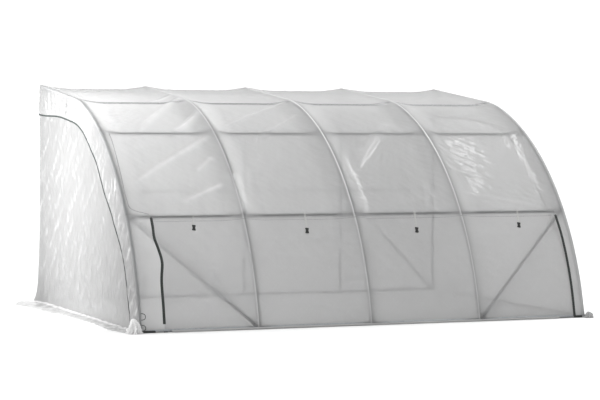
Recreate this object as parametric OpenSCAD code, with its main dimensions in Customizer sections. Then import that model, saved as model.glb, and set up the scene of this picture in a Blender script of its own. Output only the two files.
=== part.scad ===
// Lean-to film greenhouse: five bent tube ribs on upright back posts, tied by purlins and ground rails,
// under a fitted film cover with a roll-up front panel and a zipped panel in each end.
// X runs along the length, the curved front faces -Y, the upright back stands at +Y and Z is up.

/* [Frame] */
// Spacing between neighbouring ribs
bay = 1000; // [850:10:1150]
// Height of the rib axis at the back posts
back_h = 1980; // [1750:10:2200]
// Outside diameter of the frame tubes
tube_d = 25; // [20:0.5:30]
// Downward tilt of the straight roof stretch, in degrees
roof_tilt = 6.3; // [4:0.1:9]
// Length of the straight roof stretch of each rib
roof_run = 1120; // [900:10:1300]
// Bend radius at the shoulder of each rib
shoulder_r = 1435; // [1150:5:1700]
// Tilt where the shoulder passes into the long bend, in degrees
shoulder_tilt = 18; // [15:0.5:22]
// Tilt of the rib where it meets the ground rail, in degrees
leg_tilt = 79; // [74:0.5:82]

/* [Purlins] */
// Distance of the ridge rail from the top corner, along the roof
ridge_at = 105; // [100:1:160]
// Rib tilt at the upper purlin, in degrees
upper_tilt = 8.6; // [8.4:0.1:14]
// Rib tilt at the roof purlin, in degrees
roof_purlin_tilt = 30.5; // [26:0.5:36]
// Rib tilt at the eaves purlin, in degrees
eaves_tilt = 55; // [48:0.5:60]
// Height of the middle rail on the back posts, as a share of the back height
mid_share = 0.508; // [0.43:0.002:0.58]

/* [Fittings] */
// Wall of the sleeves and sockets that join the tubes
fit_wall = 2.2; // [1.5:0.1:4]
// Radial clearance between a tube and its sleeve
fit_gap = 0.3; // [0.2:0.05:0.5]
// Web left between the two bores of a cross clamp
clamp_web = 2.4; // [1.5:0.1:5]
// Length of each clamp sleeve
clamp_len = 26; // [22:1:27]
// Depth of a socket
socket_len = 40; // [30:1:45]
// Length of the sleeves that join the lengths of a rib
sleeve_len = 40; // [30:1:48]
// Distance of the ends of a brace from the ribs or posts beside them
brace_in = 36; // [34:1:80]

/* [Cover] */
// Thickness of the film panels
film_t = 2.5; // [1.5:0.1:5]
// Gap between the film and what it lies on
seat = 0.3; // [0.2:0.05:0.6]
// Distance from a rib over which the roof film drops to the purlins
tent_w = 190; // [150:10:300]
// Sideways shift of the cover on the frame
cover_shift = 55; // [0:1:60]
// Distance of the front zips from the ends of the cover
zip_in = 145; // [110:5:400]
// Width of a zip tape
zip_w = 30; // [20:1:45]
// Thickness of a zip
zip_t = 3; // [2:0.1:5]
// Width of the cover's return on each end, from the rib to the zip
return_w = 250; // [180:5:350]
// Width of the loose skirt on the ground at each end
skirt_w = 220; // [120:5:320]
// Diameter of the rolled hem along the front panel
hem_d = 20; // [14:1:30]
// Distance of each end of the rolled hem from the end rib
hem_in = 250; // [200:10:600]

/* [Ties] */
// Width of a tie strap
strap_w = 20; // [14:1:30]
// Thickness of a tie strap
strap_t = 2; // [1.5:0.1:3]
// Hanging length of a front tie strap
strap_len = 158; // [110:1:200]
// Width of a toggle
toggle_w = 34; // [28:1:44]
// Height of a toggle
toggle_h = 40; // [30:1:50]
// Thickness of a toggle
toggle_t = 9; // [6:0.5:14]
// Distance of an end tie strap in front of the back posts
end_tie_at = 900; // [700:10:1000]
// Hanging length of an end tie strap
end_tie_len = 170; // [100:5:200]

/* [Hidden] */
$fn = 64;
arc_fn = 480;
tube_r = tube_d / 2;
bore_r = tube_r + fit_gap;
fit_r = bore_r + fit_wall;
clamp_off = 2 * bore_r + clamp_web;
socket_r = fit_r - 0.25 * fit_wall;
rail_z = fit_r;
foot_in = fit_r + fit_wall;
film_in = fit_r + seat;
film_out = film_in + film_t;
sag = film_in + clamp_off - tube_r - seat;
crest = 0.4 * fit_r;
half_len = 2 * bay;
mid_h = mid_share * back_h;
end_in = half_len + film_in;
end_out = end_in + film_t;
rail_half = half_len + 0.5 * clamp_len;

function nrm(a) = [-sin(a), cos(a)];
function tng(a) = [-cos(a), -sin(a)];

// The long bend takes whatever radius carries the rib from the shoulder down to the ground rail.
shoulder_end_z = back_h - roof_run * sin(roof_tilt) - shoulder_r * (cos(roof_tilt) - cos(shoulder_tilt));
long_r = (shoulder_end_z - rail_z) / (cos(shoulder_tilt) - cos(leg_tilt));
shoulder_y = roof_run * cos(roof_tilt);
long_y = shoulder_y + shoulder_r * (sin(shoulder_tilt) - sin(roof_tilt));
foot_y = long_y + long_r * (sin(leg_tilt) - sin(shoulder_tilt));

// Angle that a length of tube takes up on a bend.
function turn(len, r) = len / r * 180 / PI;

// Reach of the hem in front of the post axis, which with the back film sets the middle of the depth.
hem_r = hem_d / 2;
film_foot = foot_y + film_out / sin(leg_tilt) + (rail_z - hem_r) / tan(leg_tilt);
hem_y = film_foot + (hem_r + seat) / sin(leg_tilt);
post_y = (hem_y + hem_r - film_out) / 2;

corner = [post_y, back_h];
shoulder_start = corner + roof_run * tng(roof_tilt);
shoulder_mid = shoulder_start - shoulder_r * nrm(roof_tilt);
long_start = shoulder_mid + shoulder_r * nrm(shoulder_tilt);
long_mid = long_start - long_r * nrm(shoulder_tilt);
foot = long_mid + long_r * nrm(leg_tilt);

function on_roof(s, d) = corner + s * tng(roof_tilt) + d * nrm(roof_tilt);
function on_shoulder(a, d) = shoulder_mid + (shoulder_r + d) * nrm(a);
function on_long(a, d) = long_mid + (long_r + d) * nrm(a);
function on_leg(s, d) = foot + s * tng(leg_tilt) + d * nrm(leg_tilt);
function leg_to(z, d) = (foot[1] + d * cos(leg_tilt) - z) / sin(leg_tilt);

brace_tilt = eaves_tilt + turn(clamp_off, long_r - clamp_off);
brace_low_tilt = leg_tilt - turn(clamp_off, long_r);
socket_tilt = leg_tilt - turn(foot_in + socket_len / 2, long_r);
strap_turn = turn(strap_len, long_r);

steel = [0.72, 0.74, 0.75];
fitting = [0.55, 0.57, 0.58];
film = [0.90, 0.92, 0.91, 0.55];
tape = [0.16, 0.20, 0.18];
webbing = [0.90, 0.90, 0.88];
black = [0.06, 0.06, 0.06];

// Straight tube in the plane of a rib, from point p at tilt a.
module sloping(x, p, a, len, r) {
    translate([x, p[0], p[1]]) rotate([90 + a, 0, 0]) cylinder(r = r, h = len);
}

// Bent tube in the plane of a rib, between two tilts about a centre.
module bent(x, mid, r, from, to, tube) {
    translate([x, mid[0], mid[1]]) rotate([90, 0, 90]) rotate([0, 0, 90 + from])
        rotate_extrude(angle = to - from, $fn = arc_fn) translate([r, 0]) circle(r = tube, $fn = 64);
}

// Straight round bar between two points in space.
module bar(p, q, r) {
    v = q - p;
    translate(p) rotate([0, acos(v[2] / norm(v)), atan2(v[1], v[0])]) cylinder(r = r, h = norm(v));
}

// Round bar along the length of the greenhouse, at a point of the rib plane.
module along(p, half, r) {
    translate([-half, p[0], p[1]]) rotate([0, 90, 0]) cylinder(r = r, h = 2 * half);
}

// A rib is three lengths of tube, straight, shoulder and long bend, that meet inside sleeves.
module rib(n) {
    half_gap = seat / 2;
    color(steel) translate([(n - 3) * bay, 0, 0]) {
        sloping(0, on_roof(foot_in, 0), roof_tilt, roof_run - foot_in - half_gap, tube_r);
        bent(0, shoulder_mid, shoulder_r, roof_tilt + turn(half_gap, shoulder_r),
            shoulder_tilt - turn(half_gap, shoulder_r), tube_r);
        bent(0, long_mid, long_r, shoulder_tilt + turn(half_gap, long_r),
            leg_tilt - turn(foot_in + seat, long_r), tube_r);
    }
}

module back_post(n) {
    low = rail_z + foot_in;
    color(steel) translate([(n - 3) * bay, post_y, low]) cylinder(r = tube_r, h = back_h - foot_in - low);
}

module ridge_rail() {
    color(steel) along(on_roof(ridge_at, -clamp_off), rail_half, tube_r);
}

module upper_purlin() {
    color(steel) along(on_shoulder(upper_tilt, -clamp_off), rail_half, tube_r);
}

module roof_purlin() {
    color(steel) along(on_long(roof_purlin_tilt, -clamp_off), rail_half, tube_r);
}

module eaves_purlin() {
    color(steel) along(on_long(eaves_tilt, -clamp_off), rail_half, tube_r);
}

module front_ground_rail() {
    color(steel) along(foot, rail_half, tube_r);
}

module back_ground_rail() {
    color(steel) along([post_y, rail_z], rail_half, tube_r);
}

module back_middle_rail() {
    color(steel) along([post_y - clamp_off, mid_h], rail_half, tube_r);
}

function in_space(x, p) = [x, p[0], p[1]];
front_brace_top = in_space(brace_in - half_len, on_long(brace_tilt, -clamp_off));
front_brace_foot = in_space(-bay - brace_in, on_long(brace_low_tilt, 0));
back_brace_top = [-bay - brace_in, post_y - clamp_off, mid_h - clamp_off];
back_brace_foot = [brace_in - half_len, post_y, rail_z + clamp_off];

// Brace tube that runs a little past the middle of the clamp at each end.
module brace(p, q) {
    past = 0.2 * clamp_len * (q - p) / norm(q - p);
    bar(p - past, q + past, tube_r);
}

module front_brace_left() {
    color(steel) brace(front_brace_top, front_brace_foot);
}

module front_brace_right() {
    color(steel) mirror([1, 0, 0]) brace(front_brace_top, front_brace_foot);
}

module back_brace_left() {
    color(steel) brace(back_brace_top, back_brace_foot);
}

module back_brace_right() {
    color(steel) mirror([1, 0, 0]) brace(back_brace_top, back_brace_foot);
}

// Corner elbow: a drum with a socket for the rib and a socket for the back post.
module corner_elbows() {
    reach = foot_in + socket_len;
    color(fitting) for (n = [1:5]) translate([(n - 3) * bay, 0, 0]) difference() {
        union() {
            along(corner, 0.8 * fit_r, 0.97 * fit_r);
            sloping(0, corner, roof_tilt, reach, fit_r);
            sloping(0, corner, 90, reach, socket_r);
        }
        sloping(0, on_roof(foot_in, 0), roof_tilt, reach, bore_r);
        sloping(0, corner - [0, foot_in], 90, reach, bore_r);
    }
}

// Straight sleeves over the joints between the lengths of a rib.
module rib_sleeves() {
    half = sleeve_len / 2;
    color(fitting) for (n = [1:5]) translate([(n - 3) * bay, 0, 0]) {
        difference() {
            sloping(0, on_roof(roof_run - half, 0), roof_tilt, sleeve_len, fit_r);
            sloping(0, on_roof(roof_run - sleeve_len, 0), roof_tilt, 2 * sleeve_len, bore_r);
        }
        difference() {
            sloping(0, long_start - half * tng(shoulder_tilt), shoulder_tilt, sleeve_len, fit_r);
            sloping(0, long_start - sleeve_len * tng(shoulder_tilt), shoulder_tilt, 2 * sleeve_len, bore_r);
        }
    }
}

// Tee with a sleeve on the ground rail and a socket, about point q at tilt a, for the tube on it.
module tee(rail, q, a) {
    half = socket_len / 2;
    difference() {
        union() {
            along(rail, 0.5 * clamp_len, fit_r);
            sloping(0, q + (half + foot_in) * tng(a), a + 180, foot_in + socket_len, socket_r);
        }
        along(rail, clamp_len, bore_r);
        sloping(0, q + half * tng(a), a + 180, socket_len + 1, bore_r);
    }
}

module ground_tees() {
    back_foot = [post_y, rail_z];
    color(fitting) for (n = [1:5]) translate([(n - 3) * bay, 0, 0]) {
        tee(foot, on_long(socket_tilt, 0), socket_tilt);
        tee(back_foot, back_foot + [0, foot_in + socket_len / 2], 90);
    }
}

// Cross clamp: one sleeve at p on a tube along u, one on a bar along v, joined by a web.
// The bar's sleeve is moved along the bar by a share of its length.
module clamp(p, u, q, v, share) {
    half = 0.5 * clamp_len * u / norm(u);
    step = clamp_len * v / norm(v);
    mid = q + share * step;
    difference() {
        union() {
            bar(p - half, p + half, fit_r);
            bar(mid - 0.5 * step, mid + 0.5 * step, fit_r);
            bar(p, q, 0.6 * fit_r);
        }
        bar(p - 2 * half, p + 2 * half, bore_r);
        bar(mid - 0.52 * step, mid + step, bore_r);
    }
}

module rail_clamps() {
    v = [1, 0, 0];
    color(fitting) for (n = [1:5]) translate([(n - 3) * bay, 0, 0]) {
        clamp(in_space(0, on_roof(ridge_at, 0)), in_space(0, tng(roof_tilt)),
            in_space(0, on_roof(ridge_at, -clamp_off)), v, 0);
        clamp(in_space(0, on_shoulder(upper_tilt, 0)), in_space(0, tng(upper_tilt)),
            in_space(0, on_shoulder(upper_tilt, -clamp_off)), v, 0);
        clamp(in_space(0, on_long(roof_purlin_tilt, 0)), in_space(0, tng(roof_purlin_tilt)),
            in_space(0, on_long(roof_purlin_tilt, -clamp_off)), v, 0);
        clamp(in_space(0, on_long(eaves_tilt, 0)), in_space(0, tng(eaves_tilt)),
            in_space(0, on_long(eaves_tilt, -clamp_off)), v, 0);
        clamp([0, post_y, mid_h], [0, 0, 1], [0, post_y - clamp_off, mid_h], v, 0);
    }
}

module brace_clamps_left() {
    u = [1, 0, 0];
    front = front_brace_foot - front_brace_top;
    back = back_brace_foot - back_brace_top;
    eaves = in_space(front_brace_top[0], on_long(eaves_tilt, -clamp_off));
    clamp(eaves, u, front_brace_top, front, 0.3);
    clamp(in_space(front_brace_foot[0], foot), u, front_brace_foot, -front, 0.3);
    clamp(back_brace_top + [0, 0, clamp_off], u, back_brace_top, back, 0.3);
    clamp(back_brace_foot - [0, 0, clamp_off], u, back_brace_foot, -back, 0.3);
}

module brace_clamps() {
    color(fitting) {
        brace_clamps_left();
        mirror([1, 0, 0]) brace_clamps_left();
    }
}

// Part of a disc between two tilts, cut from a point inside the greenhouse.
module sector(mid, r, from, to, inside) {
    first = mid + r * nrm(from);
    last = mid + r * nrm(to);
    intersection() {
        translate(mid) circle(r = r, $fn = arc_fn);
        polygon([inside, 1.5 * first - 0.5 * inside, mid + 1.8 * r * nrm((from + to) / 2),
            1.5 * last - 0.5 * inside]);
    }
}

// Area under the rib line moved outward by d, back to a line behind the posts and down to a level.
module arch_area(d, behind, low) {
    back_y = post_y + behind;
    roof_back = -(behind + d * sin(roof_tilt)) / cos(roof_tilt);
    intersection() {
        union() {
            polygon([on_roof(roof_back, d), on_shoulder(roof_tilt, d), on_shoulder(shoulder_tilt, d),
                on_long(leg_tilt, d), on_leg(leg_to(low, d), d), [back_y, low]]);
            sector(shoulder_mid, shoulder_r + d, roof_tilt, shoulder_tilt,
                [post_y - 0.3 * foot_y, 0.25 * back_h]);
            sector(long_mid, long_r + d, shoulder_tilt, leg_tilt,
                [post_y - 0.45 * foot_y, 0.1 * back_h]);
        }
        translate([back_y - 2 * foot_y, low]) square([2 * foot_y, 2 * back_h]);
    }
}

// Carries a shape drawn in the rib plane along the length, from one place to another.
module lengthwise(from, to) {
    translate([from, 0, 0]) rotate([90, 0, 90]) linear_extrude(height = to - from) children();
}

// Curved strip about a bend, from radius r to r + t, between two tilts and two places along the length.
module band(mid, r, t, tilt_a, tilt_b, from, to) {
    translate([from, mid[0], mid[1]]) rotate([90, 0, 90]) rotate([0, 0, 90 + tilt_a])
        rotate_extrude(angle = tilt_b - tilt_a, $fn = arc_fn) translate([r, 0]) square([t, to - from]);
}

// Straight strip along the roof, from d to d + t outside the rib line, back to a line behind the posts.
module roof_slab(d, t, behind, from, to) {
    start = -(behind + d * sin(roof_tilt)) / cos(roof_tilt);
    start_out = -(behind + (d + t) * sin(roof_tilt)) / cos(roof_tilt);
    stop = roof_run - seat / 2;
    lengthwise(from, to) polygon([on_roof(start, d), on_roof(stop, d), on_roof(stop, d + t),
        on_roof(start_out, d + t)]);
}

// Tilt at which the rib line moved outward by d reaches the floor.
function floor_tilt(d) = acos(-long_mid[1] / (long_r + d));
shoulder_gap = turn(seat / 2, shoulder_r);
long_gap = turn(seat / 2, long_r);

zip_left = cover_shift + zip_in - half_len;
zip_right = cover_shift - zip_in + half_len;

// Line of the film across the bays: level over each rib at d, and down on the purlins between the ribs.
function film_line(d) = concat([[d, -end_out]],
    [for (n = [-2:1]) each [[d, n * bay + crest], [d - sag, n * bay + tent_w],
        [d - sag, (n + 1) * bay - tent_w], [d, (n + 1) * bay - crest]]],
    [[d, end_out]]);

function reversed(list) = [for (k = [len(list) - 1:-1:0]) list[k]];

// Section of the roof film across the bays, with its inside at d over the ribs.
module film_section(d) {
    polygon(concat(film_line(d), reversed(film_line(d + film_t))));
}

// Turns a section across the bays so that it stands out at a tilt from a point of the rib plane.
module at_tilt(p, a) {
    translate([0, p[0], p[1]]) rotate([90, 0, 90]) rotate([0, 0, 90 + a]) children();
}

// Carries a section across the bays round a bend, between two tilts.
module swept(mid, from, to) {
    at_tilt(mid, from) rotate_extrude(angle = to - from, $fn = arc_fn) children();
}

// Roof cover in three panels: along the roof, over the shoulder and down to the eaves.
module roof_film() {
    reach = roof_run + 2 * film_out;
    color(film) {
        intersection() {
            at_tilt(on_roof(roof_run - seat / 2, 0), roof_tilt) rotate([90, 0, 0])
                linear_extrude(height = reach) film_section(film_in);
            translate([-2 * half_len, post_y + film_out - 2 * reach, 0])
                cube([4 * half_len, 2 * reach, 2 * back_h]);
        }
        swept(shoulder_mid, roof_tilt + shoulder_gap, shoulder_tilt - shoulder_gap)
            film_section(shoulder_r + film_in);
        swept(long_mid, shoulder_tilt + long_gap, eaves_tilt - long_gap) film_section(long_r + film_in);
    }
}

// Film below the eaves, down to the floor.
module front_skin(from, to, d, t) {
    band(long_mid, long_r + d, t, eaves_tilt + long_gap, floor_tilt(d), from, to);
}

// Front film with its top edge turned in, between the ribs, to meet the roof film on the eaves purlin.
module front_film(from, to) {
    top = eaves_tilt + 2 * long_gap;
    brim = long_r + film_in + film_t / 2;
    low = long_r + film_in - sag;
    front_skin(from, to, film_in, film_t);
    swept(long_mid, top, top + turn(film_t, long_r)) intersection() {
        for (n = [-2:1]) polygon([[brim, n * bay + crest], [low, n * bay + tent_w],
            [low, (n + 1) * bay - tent_w], [brim, (n + 1) * bay - crest]]);
        translate([0, from + seat]) square([2 * long_r, to - from - 2 * seat]);
    }
}

module front_panel() {
    color(film) front_film(zip_left + seat, zip_right - seat);
}

module front_strip_left() {
    color(film) front_film(-end_out, zip_left);
}

module front_strip_right() {
    color(film) front_film(zip_right, end_out);
}

module front_zip_left() {
    color(tape) front_skin(zip_left - zip_w / 2, zip_left + zip_w / 2, film_out + seat, zip_t);
}

module front_zip_right() {
    color(tape) front_skin(zip_right - zip_w / 2, zip_right + zip_w / 2, film_out + seat, zip_t);
}

// Upright film behind the posts, its top edge under the sagging edge of the roof film.
module back_film() {
    top = on_roof(0, film_in)[1] - seat / cos(roof_tilt);
    color(film) translate([0, post_y + film_out, 0]) rotate([90, 0, 0]) linear_extrude(height = film_t)
        polygon(concat([for (p = film_line(top)) [p[1], p[0]]], [[end_out, 0], [-end_out, 0]]));
}

// Flat strip in an end that follows the rib line, from d to d + w outside it, in three lengths.
module end_strip(d, w, from, to) {
    roof_slab(d, w, fit_r, from, to);
    band(shoulder_mid, shoulder_r + d, w, roof_tilt + shoulder_gap, shoulder_tilt - shoulder_gap, from, to);
    intersection() {
        band(long_mid, long_r + d, w, shoulder_tilt + long_gap, leg_tilt + 8, from, to);
        translate([from - 1, -foot_y, 0]) cube([to - from + 2, 2 * foot_y, back_h]);
    }
}

module end_return(from) {
    color(film) end_strip(fit_r - return_w, return_w, from, from + film_t);
}

module end_panel(from) {
    color(film) lengthwise(from, from + film_t) arch_area(fit_r - return_w - seat, fit_r, 0);
}

module end_zip(from) {
    color(tape) end_strip(fit_r - return_w - zip_w / 2, zip_w, from, from + zip_t);
}

module left_end_return() {
    end_return(-end_out);
}

module left_end_panel() {
    end_panel(-end_out);
}

module right_end_return() {
    end_return(end_in);
}

module right_end_panel() {
    end_panel(end_in);
}

module left_end_zip() {
    end_zip(-end_out - zip_t);
}

module right_end_zip() {
    end_zip(end_out);
}

// Loose strip of film on the ground, clear of the foot of the end zip.
module skirt(from) {
    front = on_leg(leg_to(0, fit_r), fit_r)[0];
    color(film) translate([from, front, 0]) cube([skirt_w, post_y + film_out - front, film_t]);
}

module left_skirt() {
    skirt(-end_out - zip_t - skirt_w);
}

module right_skirt() {
    skirt(end_out + zip_t);
}

module front_hem() {
    color(film) along([post_y - hem_y, hem_r], half_len - hem_in, hem_r);
}

// Front ties: one in the middle of each bay of the cover.
module each_tie() {
    for (n = [1:4]) translate([(n - 2.5) * bay + cover_shift, 0, 0]) children();
}

module tie_straps() {
    start = eaves_tilt + long_gap;
    color(webbing) each_tie() band(long_mid, long_r + film_out + seat, strap_t, start, start + strap_turn,
        -strap_w / 2, strap_w / 2);
}

module tie_toggles() {
    at = eaves_tilt + strap_turn;
    lift = film_out + 2 * seat + strap_t;
    p = on_long(at, lift);
    wide = toggle_w / 2;
    high = toggle_h / 2;
    color(black) each_tie() translate([0, p[0], p[1]]) rotate([at, 0, 0]) linear_extrude(height = toggle_t)
        polygon([[-wide, -high], [wide, -high], [0.6 * wide, 0],
            [wide, high], [-wide, high], [-0.6 * wide, 0]]);
}

module end_tie_straps() {
    top = on_roof(end_tie_at / cos(roof_tilt), 0);
    inner = half_len + tube_r + 0.4 * (film_in - tube_r - strap_t);
    color(webbing) for (s = [0, 1]) mirror([s, 0, 0])
        translate([inner, top[0] - strap_w / 2, top[1] - end_tie_len])
            cube([strap_t, strap_w, end_tie_len]);
}

rib(1);  // rib_1
rib(2);  // rib_2
rib(3);  // rib_3
rib(4);  // rib_4
rib(5);  // rib_5
back_post(1);  // back_post_1
back_post(2);  // back_post_2
back_post(3);  // back_post_3
back_post(4);  // back_post_4
back_post(5);  // back_post_5
ridge_rail();
upper_purlin();
roof_purlin();
eaves_purlin();
front_ground_rail();
back_ground_rail();
back_middle_rail();
front_brace_left();
front_brace_right();
back_brace_left();
back_brace_right();
corner_elbows();
rib_sleeves();
ground_tees();
rail_clamps();
brace_clamps();
roof_film();
front_panel();
front_strip_left();
front_strip_right();
back_film();
left_end_return();
left_end_panel();
right_end_return();
right_end_panel();
front_zip_left();
front_zip_right();
left_end_zip();
right_end_zip();
left_skirt();
right_skirt();
front_hem();
tie_straps();
tie_toggles();
end_tie_straps();
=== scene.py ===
import bmesh
import bpy
import numpy as np
from mathutils import Matrix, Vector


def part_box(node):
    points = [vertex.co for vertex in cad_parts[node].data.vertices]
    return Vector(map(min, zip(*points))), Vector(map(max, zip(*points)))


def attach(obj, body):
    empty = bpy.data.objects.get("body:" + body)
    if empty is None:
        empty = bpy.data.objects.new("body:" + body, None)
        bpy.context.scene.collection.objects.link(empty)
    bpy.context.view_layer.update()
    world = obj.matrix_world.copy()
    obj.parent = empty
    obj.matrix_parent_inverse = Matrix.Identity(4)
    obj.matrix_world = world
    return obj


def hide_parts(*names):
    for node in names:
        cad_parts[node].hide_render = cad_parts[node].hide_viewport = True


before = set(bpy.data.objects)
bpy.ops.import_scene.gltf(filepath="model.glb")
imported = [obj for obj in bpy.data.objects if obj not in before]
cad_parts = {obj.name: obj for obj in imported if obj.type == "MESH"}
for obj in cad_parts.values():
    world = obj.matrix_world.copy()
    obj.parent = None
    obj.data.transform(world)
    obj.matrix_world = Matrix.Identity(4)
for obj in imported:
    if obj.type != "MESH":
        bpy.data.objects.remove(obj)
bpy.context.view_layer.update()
print("frame loaded:", len(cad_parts), "nodes")

# Driving sizes of the greenhouse in metres and degrees, as its frame was built
house = {
    "bay": 1.0,
    "backHeight": 1.98,
    "tube": 0.025,
    "fitting": 0.015,  # outside radius of sleeves and sockets
    "purlinStep": 0.028,  # from the axis of a rib to the axis of a purlin under it
    "roofTilt": 6.3,
    "roofRun": 1.12,
    "shoulderRadius": 1.435,
    "shoulderTilt": 18.0,
    "legTilt": 79.0,
    "ridgeAt": 0.105,
    "purlinTilts": (8.6, 30.5, 55.0),  # upper, roof and eaves purlin
    "filmOver": 0.0163,  # film over a rib, from the axis of the tube
    "filmOnPurlin": -0.0143,  # film that lies on a purlin, from the axis of the ribs
    "zipLeft": -1.8,
    "zipRight": 1.91,
    "floorGap": 0.002,
}

bay = house["bay"]
halfLength = 2 * bay
ribPlaces = bay * np.arange(-2, 3)
roofTilt, shoulderTilt, legTilt = np.radians([house[k] for k in ("roofTilt", "shoulderTilt", "legTilt")])
tubeRadius = house["tube"] / 2
filmOver = house["filmOver"]
endEdge = halfLength + filmOver
sideNames = {-1: "left", 1: "right"}
postY = sum(corner.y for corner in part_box("back_post_1")) / 2
railZ = house["fitting"]
shoulderRadius = house["shoulderRadius"]
shoulderFrom = house["roofRun"]
longFrom = shoulderFrom + shoulderRadius * (shoulderTilt - roofTilt)
shoulderDrop = shoulderFrom * np.sin(roofTilt) + shoulderRadius * (np.cos(roofTilt) - np.cos(shoulderTilt))
longRadius = (house["backHeight"] - shoulderDrop - railZ) / (np.cos(shoulderTilt) - np.cos(legTilt))


# Outward and downhill directions of the rib plane, as y and z, at a tilt from level
def outwardOf(tilt):
    return np.stack([-np.sin(tilt), np.cos(tilt)], -1)


def downOf(tilt):
    return np.stack([-np.cos(tilt), -np.sin(tilt)], -1)


backCorner = np.array([postY, house["backHeight"]])
shoulderMid = backCorner + shoulderFrom * downOf(roofTilt) - shoulderRadius * outwardOf(roofTilt)
longMid = shoulderMid + (shoulderRadius - longRadius) * outwardOf(shoulderTilt)


# Slope of a rib at arc length s from the top back corner: steady, then growing at the rate of each bend
def ribTilt(s):
    shoulderTurn = np.clip(s - shoulderFrom, 0, longFrom - shoulderFrom) / shoulderRadius
    return roofTilt + shoulderTurn + np.clip(s - longFrom, 0, None) / longRadius


# Point of the rib plane at arc length s, moved outward by out: a straight, a shoulder arc and a long arc
def ribPoint(s, out):
    s, out = np.broadcast_arrays(np.asarray(s, float), np.asarray(out, float))
    outward = outwardOf(ribTilt(s))
    straight = backCorner + s[..., None] * downOf(roofTilt)
    shoulder = shoulderMid + shoulderRadius * outward
    longBend = longMid + longRadius * outward
    axis = np.where((s < shoulderFrom)[..., None], straight, shoulder)
    axis = np.where((s < longFrom)[..., None], axis, longBend)
    return axis + out[..., None] * outward


# Puts x in front of y and z
def inSpace(x, plane):
    x = np.broadcast_to(x, plane.shape[:-1])
    return np.concatenate([x[..., None], plane], -1)


# Arc length at which the rib line, moved outward by out, comes down to a height
def lengthTo(height, out):
    return longFrom + longRadius * (np.arccos((height - longMid[1]) / (longRadius + out)) - shoulderTilt)


upperTilt, purlinTilt, eavesTilt = np.radians(house["purlinTilts"])
upperAt = shoulderFrom + shoulderRadius * (upperTilt - roofTilt)
purlinAt = longFrom + longRadius * (purlinTilt - shoulderTilt)
eavesAt = longFrom + longRadius * (eavesTilt - shoulderTilt)
purlinStops = np.array([house["ridgeAt"], upperAt, purlinAt, eavesAt])
floorAt = lengthTo(house["floorGap"], filmOver)


# Ease in and out between nothing and one
def smooth(t):
    t = np.clip(t, 0, 1)
    return t * t * (3 - 2 * t)


# Eased curve through a few knots, level at each of them
def eased(t, at, values):
    at, values = np.asarray(at, float), np.asarray(values, float)
    k = np.clip(np.searchsorted(at, t) - 1, 0, len(at) - 2)
    share = smooth((t - at[k]) / (at[k + 1] - at[k]))
    return values[k] + (values[k + 1] - values[k]) * share


# Grid of two shares, each from nothing to one
def unitGrid(rows, columns):
    return np.meshgrid(np.linspace(0, 1, rows), np.linspace(0, 1, columns), indexing="ij")


# Crushed film: waves folded at their zero lines, three to an octave in random ways, bent by a slow wave.
# Each octave halves the spacing and the height; the mean of a folded wave, 0.64, is taken off.
def crushed(u, v, spacing, octaves, seed, lean=0.0, spread=np.pi):
    rng = np.random.default_rng(seed)
    total = np.zeros(np.broadcast(u, v).shape)
    for octave in range(octaves):
        for _ in range(3):
            angle = lean + spread * (rng.random() - 0.5)
            phase, bend, bendAngle = rng.random(3) * 2 * np.pi
            length = spacing * 0.5 ** octave * (0.8 + 0.5 * rng.random())
            bendWay = u * np.cos(bendAngle) + v * np.sin(bendAngle)
            slow = 0.9 * np.sin(np.pi * bendWay / (2.3 * length) + bend)
            wave = np.pi * (u * np.cos(angle) + v * np.sin(angle)) / length + phase + slow
            total += 0.5 ** octave * (0.64 - np.abs(np.sin(wave))) / 3
    return total


# A fold is a straight ridge from one film point to another: a round crest that dies away at both ends
def folded(u, v, folds):
    total = np.zeros(np.broadcast(u, v).shape)
    for u0, v0, u1, v1, height, width in folds:
        length = np.hypot(u1 - u0, v1 - v0)
        along = ((u - u0) * (u1 - u0) + (v - v0) * (v1 - v0)) / length ** 2
        aside = ((u - u0) * (v1 - v0) - (v - v0) * (u1 - u0)) / length
        dying = smooth(along / 0.15) * smooth((1 - along) / 0.3)
        total += height * dying * np.exp(-(aside / width) ** 2)
    return total


# Round patch: one in the middle, nothing at the rim
def patch(u, v, at, size):
    return np.exp(-(((u - at[0]) / size[0]) ** 2 + ((v - at[1]) / size[1]) ** 2))


# Place and turn of a camera or lamp that looks ahead
def facing(place, right, up, ahead):
    turn = Matrix(np.column_stack([right, up, -ahead]).tolist()).to_4x4()
    return Matrix.Translation(place) @ turn


# Camera: the photograph's own, found from the feet, purlins and posts of the frame
lens = {
    "place": (-7.071, -17.187, 1.725),
    "yaw": 22.247,
    "pitch": 2.306,
    "roll": 0.294,
    "focal": 2087.3,  # in pixels of a picture 600 wide
    "width": 600,
    "sensor": 36.0,
    "clipEnd": 200.0,
}


def makeCamera():
    yaw, pitch, roll = np.radians([lens["yaw"], lens["pitch"], lens["roll"]])
    ahead = np.array([np.sin(yaw) * np.cos(pitch), np.cos(yaw) * np.cos(pitch), -np.sin(pitch)])
    right = np.array([np.cos(yaw), -np.sin(yaw), 0.0])
    up = np.cross(right, ahead)
    rolledRight = np.cos(roll) * right + np.sin(roll) * up
    rolledUp = np.cos(roll) * up - np.sin(roll) * right
    camera = bpy.data.objects.new("camera", bpy.data.cameras.new("camera"))
    camera.data.sensor_width = lens["sensor"]
    camera.data.lens = lens["focal"] / lens["width"] * lens["sensor"]
    camera.data.clip_end = lens["clipEnd"]
    camera.matrix_world = facing(lens["place"], rolledRight, rolledUp, ahead)
    bpy.context.scene.collection.objects.link(camera)
    bpy.context.scene.camera = camera


makeCamera()
print("camera set")


# sRGB hex to linear colour
def colour(code):
    part = np.array([int(code[i:i + 2], 16) for i in (1, 3, 5)]) / 255
    linear = np.where(part <= 0.04045, part / 12.92, ((part + 0.055) / 1.055) ** 2.4)
    return (*linear.tolist(), 1.0)


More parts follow.
